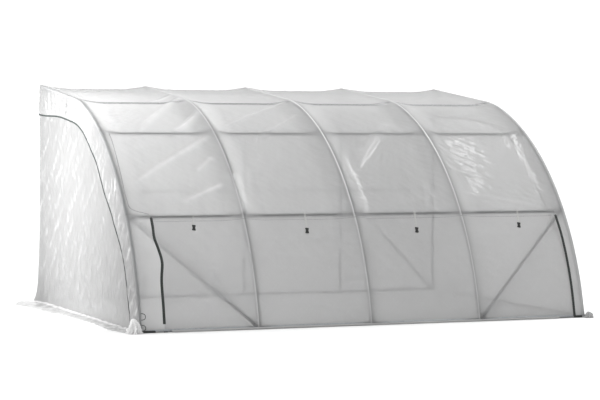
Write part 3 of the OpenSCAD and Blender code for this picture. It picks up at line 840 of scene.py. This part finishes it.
def makeBack():
    x, turn = wrappedColumns(back["step"])
    t = np.linspace(0, 1, int(house["backHeight"] / back["rowStep"]))
    x, t = np.meshgrid(x, t, indexing="ij")
    turn = np.broadcast_to(turn[:, None], x.shape)
    top = coverPoint(x, np.full(x.shape, -rollLength), turn)
    z = top[..., 2] + (house["floorGap"] - top[..., 2]) * t
    settled = smooth(t / back["settle"])
    tent = np.sin(np.pi / 2 * np.clip(ribDistance(x) / back["tentReach"], 0, 1))
    down = 2 * t  # the wall is about 2 m high
    rough = back["crush"] * crushed(x, down, back["crushSpacing"], 4, back["seed"])
    lift = rough * settled * (1 - np.exp(-(ribDistance(x) / back["grip"]) ** 2))
    hung = postY + filmOver * np.cos(turn) - back["drop"] * tent + lift
    y = top[..., 1] + (hung - top[..., 1]) * settled
    aside = footFlare(z) * smooth((np.abs(x) - halfLength + flare["backReach"]) / flare["backReach"])
    points = np.stack([top[..., 0] + np.sign(x) * aside, y, z], -1)
    flat = np.stack([x + filmOver * turn, -rollLength - house["backHeight"] * t], -1)
    piece = addPiece("backFilm", [points], [flat], films["taut"])
    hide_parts("back_film")
    return piece


backFilm = makeBack()
print("back film hung")


# Ends: a return sewn to the roof runs down inside the rib, and a panel is zipped to it
ends = {
    "zipAt": (0.0, 0.8, 1.5, 2.0, 2.5, 2.85, 3.3, 3.93),  # arc lengths for the depth below
    "zipDepth": (-0.250, -0.196, -0.192, -0.222, -0.278, -0.256, -0.198, -0.205),
    "returnRows": 260, "returnColumns": 26,
    "panelRows": 210, "panelColumns": 130,
    "seed": {-1: 31, 1: 37},
    "crush": 0.0130, "crushSpacing": 0.17, "crushStretch": 0.55,
    "returnCrush": 0.010, "returnSpacing": 0.10, "returnStretch": 1.6, "returnLean": (0.5, 1.9),
    "returnWide": 0.22, "returnFrom": 0.35,  # usual width, and where it starts to move with the panel
    "pleats": 0.011, "pleatSpacing": 0.055, "pleatsFrom": 1.5,  # the height under which pleats begin
    "pleatSway": (1.7, 2.6, 0.8), "pleatRipple": (0.6, 5.0),  # strength, and the rate along y or z
    "billow": 0.014, "billowWave": (2.4, 0.9, 1.1), "billowFrom": 0.5,
    "zipHold": 0.8, "zipReach": 0.03,  # share of the crushing that a zip holds flat, and how far from it
    "backHold": 0.06,  # the back posts hold the panel flat this far
    "panelCrease": 0.085, "panelStretch": 0.75,
    "creaseHighlight": 0.15, "returnHighlight": 0.33,  # painted highlight on the sharpest creases, as a share of white
    "footGap": 0.012,
}


def zipDepth(s):
    return eased(s, ends["zipAt"], ends["zipDepth"])


# Arc length and depth inside the rib, at shares t down the rib and v from the rib in to the zip
def returnPlace(t, v):
    depth = v * zipDepth(t * ends["zipAt"][-1])
    start = -depth * np.tan(roofTilt)
    return start + t * (lengthTo(ends["footGap"], depth) - start), depth


def zipLine(t):
    return ribPoint(*returnPlace(t, 1.0))


# The film is held flatter beside its zip
def besideZip(distance):
    return 1 - ends["zipHold"] * np.exp(-(distance / ends["zipReach"]) ** 2)


# Outward bulge of an end panel at y and z: slow billows, pleats that deepen to the ground, and crushing
def endBulge(y, z, seed, loose=1.0):
    down = 1 - smooth(z / ends["pleatsFrom"])
    sway, swayY, swayZ = ends["pleatSway"]
    ripple, rippleZ = ends["pleatRipple"]
    wander = sway * np.sin(swayY * y + swayZ * z) + ripple * np.sin(rippleZ * z)
    pleat = np.abs(np.sin(np.pi * y / ends["pleatSpacing"] + wander))
    billowY, phase, billowZ = ends["billowWave"]
    billow = 0.5 + 0.5 * np.sin(billowY * y + phase + billowZ * z)
    billow = ends["billow"] * billow * smooth(z / ends["billowFrom"])
    rough = ends["crush"] * (0.5 + crushed(y, ends["crushStretch"] * z, ends["crushSpacing"], 4, seed))
    return billow + loose * (ends["pleats"] * down * (1 - pleat) + rough)


# Outward bulge of an end return, at a share of the way in from the rib to the zip
def returnBulge(s, depth, share, seed):
    plane = ribPoint(s, depth)
    loose = besideZip((1 - share) * ends["returnWide"])
    moved = smooth((share - ends["returnFrom"]) / (1 - ends["returnFrom"]))
    edge = endBulge(plane[..., 0], plane[..., 1], seed, loose) * moved
    rough = crushed(s, ends["returnStretch"] * depth, ends["returnSpacing"], 4, seed + 1, *ends["returnLean"])
    rough = ends["returnCrush"] * (0.55 + rough)
    return edge + np.sin(np.pi * np.clip(share, 0, 1)) ** 0.7 * rough


# Sharp crests of crushed film, in patches four times as wide: one on a crest, nothing in between.
# It is the mask of the painted highlight on the creases of the ends.
def creases(u, v, spacing, seed, lean):
    sharp = smooth((crushed(u, v, spacing, 3, seed, lean, 1.8) - 0.05) / 0.5)
    return sharp * smooth(0.5 + crushed(u, v, 4 * spacing, 2, seed + 50))


def makeEnd(side):
    name, seed = sideNames[side], ends["seed"][side]
    wall = side * endEdge
    t, v = unitGrid(ends["returnRows"], ends["returnColumns"])
    s, depth = returnPlace(t, v)
    x = wall + side * returnBulge(s, depth, v, seed)
    strip = addPiece(name + "EndReturn", [inSpace(x, ribPoint(s, depth))], [np.stack([s, depth], -1)],
                     films["doubled"], flip=side > 0)
    # Painted highlight on the sharpest creases of the return
    sharp = creases(s, ends["returnStretch"] * depth, ends["returnSpacing"], seed + 2, 0.7)
    setShare(strip, "crest", ends["returnHighlight"] * sharp)
    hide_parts(name + "_end_return")
    t, v = unitGrid(ends["panelRows"], ends["panelColumns"])
    line = zipLine(t)
    y = line[..., 0]
    z = line[..., 1] + (house["floorGap"] - line[..., 1]) * v
    below = 0.8 * (line[..., 1] - z)  # the zip slopes, so it is nearer than straight up
    bulge = endBulge(y, z, seed, besideZip(below))
    x = wall + side * (bulge * smooth((postY - y) / ends["backHold"]) + cornerFlare(y, z))
    panel = addPiece(name + "EndPanel", [np.stack([x, y, z], -1)], [np.stack([y, z], -1)],
                     films["end"], flip=side > 0)
    # Painted highlight on the sharpest creases of the panel
    sharp = creases(y, ends["panelStretch"] * z, ends["panelCrease"], seed + 3, 0.3)
    setShare(panel, "crest", ends["creaseHighlight"] * sharp)
    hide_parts(name + "_end_panel")
    return strip, panel


leftReturn, leftPanel = makeEnd(-1)
rightReturn, rightPanel = makeEnd(1)
print("end films hung")


# Loose skirts on the ground: they fold out from the foot of each end and lie crumpled, wider towards the back
skirt = {
    "alongY": (1.50, 1.24, 0.96, 0.48, 0.25, -0.14, -0.63, -1.15, -1.47),
    "reach": (0.21, 0.30, 0.24, 0.22, 0.16, 0.15, 0.12, 0.15, 0.10),
    "rows": 300, "columns": 26,
    "pastZip": 0.20,  # how far it runs in front of the end zip
    "rise": 0.014, "spacing": 0.13, "lean": (0.0, 1.6), "seed": {-1: 41, 1: 43},
    "lowest": 0.02, "archFrom": 0.15, "archSpan": 0.8, "archPower": 0.8,  # least rise, and its arch
    "ragged": 0.012, "raggedSpacing": 0.09, "raggedSeed": {-1: 5, 1: 6},  # its outer edge
    "foot": 0.012, "footWide": 0.020,  # raised fold along the wall
    "clear": 0.0012,
}


def makeSkirt(side):
    name = sideNames[side]
    frontY = zipLine(np.array(1.0))[0] - skirt["pastZip"]
    t, v = unitGrid(skirt["rows"], skirt["columns"])
    y = postY + filmOver + (frontY - postY - filmOver) * t
    ragged = skirt["ragged"] * crushed(y, 0 * y, skirt["raggedSpacing"], 3, skirt["raggedSeed"][side])
    reach = np.interp(-y, -np.array(skirt["alongY"]), skirt["reach"]) + ragged
    rough = 0.5 + crushed(y, v * reach, skirt["spacing"], 4, skirt["seed"][side], *skirt["lean"])
    arch = np.sin(np.pi * np.clip(skirt["archFrom"] + skirt["archSpan"] * v, 0, 1)) ** skirt["archPower"]
    lift = skirt["rise"] * np.clip(rough, skirt["lowest"], None) * arch
    foot = skirt["foot"] * np.exp(-(v * reach / skirt["footWide"]) ** 2)
    bulge = endBulge(y, np.full(y.shape, house["floorGap"]), ends["seed"][side])
    bulge = bulge + cornerFlare(y, house["floorGap"])
    x = side * (endEdge + bulge * (1 - v) + v * reach)
    points = np.stack([x, y, skirt["clear"] + lift + foot], -1)
    flat = np.stack([v * reach, y], -1)
    piece = addPiece(name + "Skirt", [points], [flat], films["loose"], flip=side > 0)
    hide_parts(name + "_skirt")
    return piece


leftSkirt, rightSkirt = makeSkirt(-1), makeSkirt(1)
print("skirts laid")


# Zip: a flat woven tape carried along a path, and a raised coil on its middle whose teeth alternate from side
# to side. The teeth are drawn at 6 mm, coarser than real ones, so that they show.
zipper = {
    "tapeHalf": 0.0115, "endHalf": 0.008, "tapeThick": 0.0009, "tapeGap": 0.0002,
    "tapeAcross": (-1, -0.985, -0.93, -0.9, -0.5, 0, 0.5, 0.9, 0.93, 0.985, 1),  # half widths
    "tapeRise": (0.0, 0.9, 1.0, 1.5, 1.0, 1.0, 1.0, 1.5, 1.0, 0.9, 0.0),  # thicknesses
    "coilHalf": 0.0042, "coilHigh": 0.0024, "coilColumns": 9,
    "tooth": 0.006, "step": 0.0012, "tapeStep": 0.012,
    "under": {-1: 0.004, 1: 0.045},  # from the eaves to the top of a front zip
    "shortOf": {-1: 0.066, 1: 0.015},  # from the foot of a front zip to the ground
    "frontLift": 0.0008, "endLift": 0.0020,  # over the film
    "frontPoints": 160, "endPoints": 500, "endFrom": 0.004,
}


# Points at even steps along a path, and how far along each is
def evenly(path, step):
    length = np.concatenate([[0], np.cumsum(np.linalg.norm(np.diff(path, axis=0), axis=1))])
    places = np.linspace(0, length[-1], max(int(length[-1] / step), 2) + 1)
    return np.stack([np.interp(places, length, path[:, k]) for k in range(3)], -1), places


# The tape is a flat section with a raised edge; the coil is half an ellipse that swells at each tooth, first
# on one side and then on the other
def addZip(name, path, outward, half, nodes):
    points, places = evenly(path, zipper["step"])
    given = np.linspace(0, places[-1], len(outward))
    out = np.stack([np.interp(places, given, outward[:, k]) for k in range(3)], -1)
    along = np.gradient(points, axis=0)
    along /= np.linalg.norm(along, axis=1)[:, None]
    across = np.cross(out, along)
    across /= np.linalg.norm(across, axis=1)[:, None]
    every = max(int(zipper["tapeStep"] / zipper["step"]), 1)
    w = half * np.array(zipper["tapeAcross"])
    h = zipper["tapeThick"] * np.array(zipper["tapeRise"]) + zipper["tapeGap"]
    tape = points[::every, None] + w[:, None] * across[::every, None] + h[:, None] * out[::every, None]
    flat = np.stack(np.broadcast_arrays(w, places[::every, None]), -1)
    tapePiece = addPiece(name, [tape], [flat], zipTape)
    angle = np.linspace(0, np.pi, zipper["coilColumns"])
    wide, high = -zipper["coilHalf"] * np.cos(angle), zipper["coilHigh"] * np.sin(angle)
    beat = np.sin(2 * np.pi * places[:, None] / zipper["tooth"] + np.pi * (wide > 0))
    bite = 0.72 + 0.28 * np.tanh(3 * beat)
    coil = (points[:, None] + (wide * (0.85 + 0.15 * bite))[..., None] * across[:, None]
            + (high * bite + 1.1 * zipper["tapeThick"])[..., None] * out[:, None])
    flat = np.stack(np.broadcast_arrays(wide, places[:, None]), -1)
    addPiece(name + "Coil", [coil], [flat], coilPlastic)
    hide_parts(*nodes)


def frontZip(side):
    s = np.linspace(eavesAt + zipper["under"][side], floorAt - zipper["shortOf"][side], zipper["frontPoints"])
    x = zipPlace(s, side)
    path = inSpace(x, ribPoint(s, frontOut(x, s) + zipper["frontLift"]))
    outward = inSpace(0.0, outwardOf(ribTilt(s)))
    name = sideNames[side]
    addZip(name + "FrontZip", path[::-1], outward[::-1], zipper["tapeHalf"], ["front_zip_" + name])


def endZip(side):
    line = zipLine(np.linspace(zipper["endFrom"], 1, zipper["endPoints"]))
    bulge = endBulge(line[:, 0], line[:, 1], ends["seed"][side], besideZip(0.0))
    path = inSpace(side * (endEdge + bulge + zipper["endLift"]), line)
    outward = np.tile([float(side), 0.0, 0.0], (len(line), 1))
    name = sideNames[side]
    addZip(name + "EndZip", path, outward, zipper["endHalf"], [name + "_end_zip"])


for closeZip in (frontZip, endZip):
    for side in (-1, 1):
        closeZip(side)
print("zips closed")


# Rolled hem along the foot of the front panel: film wound in a spiral, a little uneven along its length
hem = {
    "radius": 0.0096, "core": 0.0045, "turns": 2.6, "gap": 0.0006, "columns": 46, "rows": 240,
    "uneven": 0.05, "unevenWave": (9.0, 2.0, 3.1),  # share of the radius; rate along it, bend and its rate
    "wander": 0.35, "wanderRate": 2.3,  # turn of the outer edge, and its rate along the hem
    "wound": 0.06,  # width of film in the roll
}


def makeHem():
    low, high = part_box("front_hem")
    midY = (low.y + high.y) / 2
    x = np.linspace(low.x, high.x, hem["rows"])
    x, a = np.meshgrid(x, np.linspace(0, 1, hem["columns"]), indexing="ij")
    rate, bend, bendRate = hem["unevenWave"]
    uneven = 1 - hem["uneven"] * (0.5 + 0.5 * np.sin(rate * x + bend * np.sin(bendRate * x)))
    radius = (hem["core"] + (hem["radius"] - hem["core"]) * a) * uneven
    angle = 2 * np.pi * hem["turns"] * a + hem["wander"] * np.sin(hem["wanderRate"] * x)
    z = hem["radius"] + hem["gap"] + radius * np.sin(angle)
    points = np.stack([x, midY + radius * np.cos(angle), z], -1)
    piece = addPiece("frontHem", [points], [np.stack([x, hem["wound"] * a], -1)], films["rolled"])
    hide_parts("front_hem")
    return piece


frontHem = makeHem()
print("hem rolled")


# Power curve that keeps its sign, for superellipses
def squared(c, power):
    return np.sign(c) * np.abs(c) ** power


# Rounded flat section of a strap, as a superellipse that is nearly a rectangle
def strapSection(width, thick, points):
    a = np.linspace(0, 2 * np.pi, points, endpoint=False) + np.pi / points
    return np.stack([width / 2 * squared(np.cos(a), 0.35), thick / 2 * squared(np.sin(a), 0.35)], -1)


# Strap: the flat section carried along a path, across and outward from each point, joined end to end.
# Its UVs are the way round it and the length along it.
def strapAlong(path, across, outward, width, thick, length, girth=None, points=16):
    loop = strapSection(width, thick, points)
    grid = path[:, None] + loop[:, 0, None] * across[:, None] + loop[:, 1, None] * outward[:, None]
    around = np.linspace(0, girth or 2 * (width + thick), points + 1)
    return grid, np.stack(np.broadcast_arrays(around, length[:, None]), -1)


# Front ties: a strap sewn in at the eaves hangs down each bay of the front panel and carries a black buckle
ties = {
    "places": (-1.428, -0.439, 0.571, 1.561),
    "hang": (0.120, 0.166, 0.176, 0.144),
    "lean": (-0.020, -0.023, -0.027, -0.030),  # sideways swing of the lower end
    "width": 0.016, "thick": 0.0016, "tail": 0.026, "sewnIn": 0.012, "points": 40,
    "overFilm": 0.0022, "follow": 0.004,  # it may come back to the film this much for each metre down
    "buckle": (0.036, 0.050, 0.009), "waist": 0.38, "buckleGap": 0.0012,
    "bar": (0.94, 0.13, 1.25), "barAt": 0.40,  # share of the buckle, and of its height from the middle
    "pad": (0.5, 0.42, 0.5), "padAt": 0.38,
}


# Buckle: hourglass outline, superellipse edges; a goes round the outline and b from the back to the front
def buckleGrid(size, waist):
    a = np.linspace(0, 2 * np.pi, 40, endpoint=False)
    a, b = np.meshgrid(a, np.linspace(-1.42, 1.42, 13), indexing="ij")
    across, down = squared(np.cos(a), 0.4), squared(np.sin(a), 0.4)
    across = across * (1 - waist * (1 - down ** 2) ** 2)
    rim, high = np.abs(np.cos(b)) ** 0.35, squared(np.sin(b), 0.6)
    return np.stack([across * rim * size[0] / 2, down * rim * size[1] / 2, high * size[2] / 2], -1)


def makeTies():
    straps, strapFlats, buckles, buckleFlats = [], [], [], []
    shape = buckleGrid(ties["buckle"], ties["waist"])
    tall, deep = ties["buckle"][1:]
    bars = [shape * ties["bar"] + [0, up * ties["barAt"] * tall, 0] for up in (-1, 1)]
    pad = shape * ties["pad"] + [0, 0, ties["padAt"] * deep]
    for place, length, lean in zip(ties["places"], ties["hang"], ties["lean"]):
        s = np.linspace(eavesAt - ties["sewnIn"], eavesAt + length + ties["tail"], ties["points"])
        x = place + lean * np.clip((s - eavesAt) / length, 0, None)
        out = np.where(s < eavesAt, filmOut(x, s), frontOut(x, s)) + ties["overFilm"]
        follow = ties["follow"] * (s - s[0])
        out = np.maximum.accumulate(out - follow) + follow
        across = np.tile([1.0, 0.0, 0.0], (len(s), 1))
        strap, flat = strapAlong(inSpace(x, ribPoint(s, out)), across, inSpace(0.0, outwardOf(ribTilt(s))),
                                 ties["width"], ties["thick"], s - s[0])
        straps.append(strap)
        strapFlats.append(flat)
        at = eavesAt + length
        outAt = np.interp(at, s, out) + deep / 2 + ties["buckleGap"]
        middle = inSpace(place + lean, ribPoint(at, outAt))
        down, face = inSpace(0.0, downOf(ribTilt(at))), inSpace(0.0, outwardOf(ribTilt(at)))
        swing, aside = np.arctan2(lean, length), np.array([1.0, 0, 0])
        turn = np.array([np.cos(swing) * aside - np.sin(swing) * down,
                         -np.cos(swing) * down - np.sin(swing) * aside, face])
        for grid in (shape, *bars, pad):
            buckles.append(middle + grid @ turn)
            buckleFlats.append(np.zeros((*grid.shape[:2], 2)))
    strap = addPiece("tieStraps", straps, strapFlats, webbing, closed="columns")
    buckle = addPiece("tieBuckles", buckles, buckleFlats, blackPlastic, closed="rows")
    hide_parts("tie_straps")
    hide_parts("tie_toggles")


makeTies()
print("front ties hung")


# End ties: a dark strap on each end rib, between the tube and the film, round the tube and straight down
endTie = {
    "length": 0.17, "width": 0.020, "thick": 0.0012, "at": 0.90,
    "underFilm": 0.0018, "settle": 0.03,  # inside the film, and how far down it gets there
    "round": -1.25 * np.pi, "ringPoints": 36, "dropPoints": 30,
}


def makeEndTies():
    grids, flats = [], []
    at = endTie["at"] / np.cos(roofTilt)
    top = ribPoint(at, 0.0)
    ring = tubeRadius + endTie["thick"]
    a = np.linspace(endTie["round"], 0, endTie["ringPoints"])
    drop = np.linspace(0, -endTie["length"], endTie["dropPoints"])[1:]
    depth, s = drop * np.cos(roofTilt), at - drop * np.sin(roofTilt)
    z = np.concatenate([-ring * np.sin(a), drop])
    for side in (-1, 1):
        bulge = returnBulge(s, depth, depth / zipDepth(s), ends["seed"][side])
        under = filmOver + bulge - endTie["underFilm"]
        x = np.concatenate([ring * np.cos(a), ring + (under - ring) * smooth(-drop / endTie["settle"])])
        path = np.stack([side * (halfLength + x), np.full(len(x), top[0]), top[1] + z], -1)
        along = np.gradient(path, axis=0)
        along /= np.linalg.norm(along, axis=1)[:, None]
        across = np.tile([0.0, 1.0, 0.0], (len(path), 1))
        length = np.linspace(0, endTie["length"] + 3 * ring, len(path))
        grid, flat = strapAlong(path, across, np.cross(along, across), endTie["width"], endTie["thick"],
                                length)
        grids.append(grid)
        flats.append(flat)
    piece = addPiece("endTieStraps", grids, flats, darkWebbing, closed="columns")
    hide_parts("end_tie_straps")


makeEndTies()

# Dark binding along the foot of each narrow front strip, from the rib to the zip
binding = {
    "high": 0.018, "thick": 0.0018, "lift": 0.002, "overFilm": 0.0016, "points": 24,
    "left": ((-2.012, -1.880), (-1.811, -1.777)),  # a long piece, and the tail under the zip
    "right": ((1.905, 1.982),),
}


def makeBinding(side):
    grids, flats = [], []
    for low, high in binding[side]:
        x = np.linspace(low, high, binding["points"])
        s = np.full(len(x), lengthTo(binding["lift"] + binding["high"] / 2, filmOver))
        path = inSpace(x, ribPoint(s, frontOut(x, s) + binding["overFilm"]))
        up, outward = -inSpace(0.0, downOf(ribTilt(s))), inSpace(0.0, outwardOf(ribTilt(s)))
        grid, flat = strapAlong(path, up, outward, binding["high"], binding["thick"], x)
        grids.append(grid)
        flats.append(flat)
    addPiece(side + "FootBinding", grids, flats, darkWebbing, closed="columns")


for side in ("left", "right"):
    makeBinding(side)
print("end ties and foot bindings fixed")


# Sewn seams: thin ribbons on the cover, each through a few points given as x and arc length s
seams = {
    "width": 0.007, "thick": 0.0009, "lift": 0.0016, "sectionPoints": 10,
    "nearRib": ((-1.93, 1.95), (-1.935, 2.08), (-1.955, 2.36), (-1.975, 2.70),
                (-1.968, 2.845), (-1.93, 2.872), (-1.86, 2.884), (-1.80, 2.903)),
    "ribPoints": 160, "rounding": 7,  # points that a corner of the seam is eased over, to each side
    "underEaves": 0.05, "shortOfZip": 0.02, "eavesPoints": 420, "eavesWidth": 0.0042,
}


def seamRibbon(name, x, s, out, width):
    path = inSpace(x, ribPoint(s, out + seams["lift"]))
    outward = inSpace(0.0, outwardOf(ribTilt(s)))
    across = np.cross(outward, np.gradient(path, axis=0))
    across /= np.linalg.norm(across, axis=1)[:, None]
    length = np.concatenate([[0], np.cumsum(np.linalg.norm(np.diff(path, axis=0), axis=1))])
    grid, flat = strapAlong(path, across, outward, width, seams["thick"], length,
                            girth=2 * width, points=seams["sectionPoints"])
    return addPiece(name, [grid], [flat], seamThread, closed="columns")


def makeSeams():
    knots = np.array(seams["nearRib"])
    at = np.concatenate([[0], np.cumsum(np.hypot(*np.diff(knots, axis=0).T))])
    fine = np.linspace(0, at[-1], seams["ribPoints"])
    x, s = np.interp(fine, at, knots[:, 0]), np.interp(fine, at, knots[:, 1])
    reach = seams["rounding"]
    kernel = np.hanning(2 * reach + 1)
    kernel = kernel / kernel.sum()
    x[reach:-reach], s[reach:-reach] = np.convolve(x, kernel, "valid"), np.convolve(s, kernel, "valid")
    ribSeam = seamRibbon("ribSeam", x, s, filmOut(x, s), seams["width"])
    # Eaves seam: its light thread also stands as a painted highlight, the light line under the eaves purlin
    low, high = house["zipLeft"] + seams["shortOfZip"], house["zipRight"] - seams["shortOfZip"]
    x = np.linspace(low, high, seams["eavesPoints"])
    s = np.full(len(x), eavesAt + seams["underEaves"])
    return ribSeam, seamRibbon("eavesSeamAndHighlight", x, s, frontOut(x, s), seams["eavesWidth"])


ribSeam, eavesSeamAndHighlight = makeSeams()
print("seams sewn")


# Gathered film at the front corners: spare cover bunched on the ground, a ruffled cone crushed all over
gather = {
    "left": {"place": (-2.075, -1.50), "reach": 0.050, "high": 0.128, "ruffles": 7, "seed": 51},
    "right": {"place": (2.024, -1.525), "reach": 0.036, "high": 0.058, "ruffles": 6, "seed": 53},
    "columns": 120, "rows": 40, "spacing": 0.035, "clear": 0.0015,
}


# a goes round the cone and h up it: the radius shrinks upward, waves with the ruffles and is crushed, most at
# the foot
def makeGather(side, look):
    made = gather[side]
    wide, tall, ruffles = made["reach"], made["high"], made["ruffles"]
    a = np.linspace(0, 2 * np.pi, gather["columns"], endpoint=False)
    a, h = np.meshgrid(a, np.linspace(0, 1, gather["rows"]), indexing="ij")
    ruffle = 0.26 * np.sin(ruffles * a + 3.0 * h) + 0.16 * np.sin((ruffles + 4) * a - 4.0 * h + 1.0)
    radius = wide * (0.10 + 0.90 * (1 - h) ** 0.55) * (1 + ruffle * (1 - 0.6 * h))
    rough = crushed(wide * np.cos(a) * 2, tall * h + wide * np.sin(a) * 2, gather["spacing"], 3, made["seed"])
    radius = radius * (1 + 0.55 * rough * (1 - h))
    lean = 0.35 * wide * np.sin(2.5 * h + 0.5)
    x = made["place"][0] + radius * np.cos(a) + lean
    y = made["place"][1] + radius * np.sin(a)
    z = gather["clear"] + tall * h ** 0.8 * (0.92 + 0.25 * rough * (1 - h))
    flat = np.stack([wide * a, tall * h], -1)
    flat = np.concatenate([flat, flat[:1] + [2 * np.pi * wide, 0]])
    return addPiece(side + "CornerGather", [np.stack([x, y, z], -1)], [flat], films[look],
                    closed="rows", capped=False)


leftGather, rightGather = makeGather("left", "bunched"), makeGather("right", "rolled")
print("corners gathered")


# Tie cords at the foot of the left rib: elastic loops that leave the film's edge and go back in beside it
cords = {
    "diameter": 0.006, "points": 28, "gap": 0.0006,
    # x and s of the exit, width and height of the loop
    "loops": ((-1.996, 3.794, 0.036, 0.052), (-1.996, 3.884, 0.032, 0.046)),
}


# The loop swings out sideways as half a sine and runs down the rib, a little slower at its ends
def makeCord(name, x, s, wide, high):
    a = np.linspace(0, 1, cords["points"])
    swing = np.sin(np.pi * a)
    alongX = x + wide * swing ** 0.8
    alongS = s - high / 2 + high * (a - 0.12 * np.sin(2 * np.pi * a))
    out = frontOut(alongX, alongS) + cords["diameter"] * (0.5 + 0.6 * swing) + cords["gap"]
    points = inSpace(alongX, ribPoint(alongS, out))
    curve = bpy.data.curves.new(name, "CURVE")
    curve.dimensions, curve.bevel_depth, curve.bevel_resolution = "3D", cords["diameter"] / 2, 3
    curve.use_fill_caps = True
    spline = curve.splines.new("POLY")
    spline.points.add(len(points) - 1)
    weighted = np.concatenate([points, np.ones((len(points), 1))], -1)
    spline.points.foreach_set("co", weighted.astype(np.float32).ravel())
    spline.use_smooth = True
    curve.materials.append(elasticCord)
    cord = bpy.data.objects.new(name, curve)
    bpy.context.scene.collection.objects.link(cord)
    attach(cord, "root")


for index, loop in enumerate(cords["loops"]):
    makeCord("footCord%d" % (index + 1), *loop)
print("tie cords looped")


# Set screws in the fittings: a hexagon head on a washer, on the inner side of each sleeve and socket
screws = {
    "head": 0.0055, "headHigh": 0.004, "washer": 0.0075, "washerHigh": 0.0012,
    "sunk": 0.0002, "onFoot": 0.0142,  # into a sleeve, and from the axis of a foot fitting
    "postHigh": 0.055, "legUp": 0.04,  # over the ground on a back post, and up from the end of a rib
}


# Six points round an axis at five radii and heights: washer, its top, head, its top and the bevel
def screwGrid(middle, axis):
    axis = axis / np.linalg.norm(axis)
    aside = np.cross(axis, [0.31, 0.87, 0.42])  # any way that no screw points
    aside /= np.linalg.norm(aside)
    other = np.cross(axis, aside)
    a = np.linspace(0, 2 * np.pi, 6, endpoint=False)
    ring = np.cos(a)[:, None] * aside + np.sin(a)[:, None] * other
    head, washer = screws["head"], screws["washer"]
    headHigh, washerHigh = screws["headHigh"], screws["washerHigh"]
    radius = np.array([washer, washer, head, head, 0.7 * head])
    high = np.array([0, washerHigh, washerHigh, headHigh, 1.15 * headHigh])
    return middle + ring[:, None] * radius[None, :, None] + high[None, :, None] * axis


def makeScrews():
    grids = []
    foot = ribPoint(longFrom + longRadius * (legTilt - shoulderTilt) - screws["legUp"], 0.0)
    for x in ribPlaces:
        for s in purlinStops:
            inward = -inSpace(0.0, outwardOf(ribTilt(s)))
            middle = inSpace(x, ribPoint(s, -house["purlinStep"]))
            grids.append(screwGrid(middle + (house["fitting"] - screws["sunk"]) * inward, inward))
        onPost = ((x, postY, screws["postHigh"]), (0.0, -1.0, 0.0))
        onLeg = ((x, *foot), (0.0, 1.0, 0.2))
        for place, inward in (onPost, onLeg):
            inward = np.array(inward) / np.linalg.norm(inward)
            grids.append(screwGrid(np.array(place) + screws["onFoot"] * inward, inward))
    flats = [np.zeros((*grid.shape[:2], 2)) for grid in grids]
    addPiece("setScrews", grids, flats, fittingSteel, closed="rows")


makeScrews()
print("screws set")


print("all pieces built")
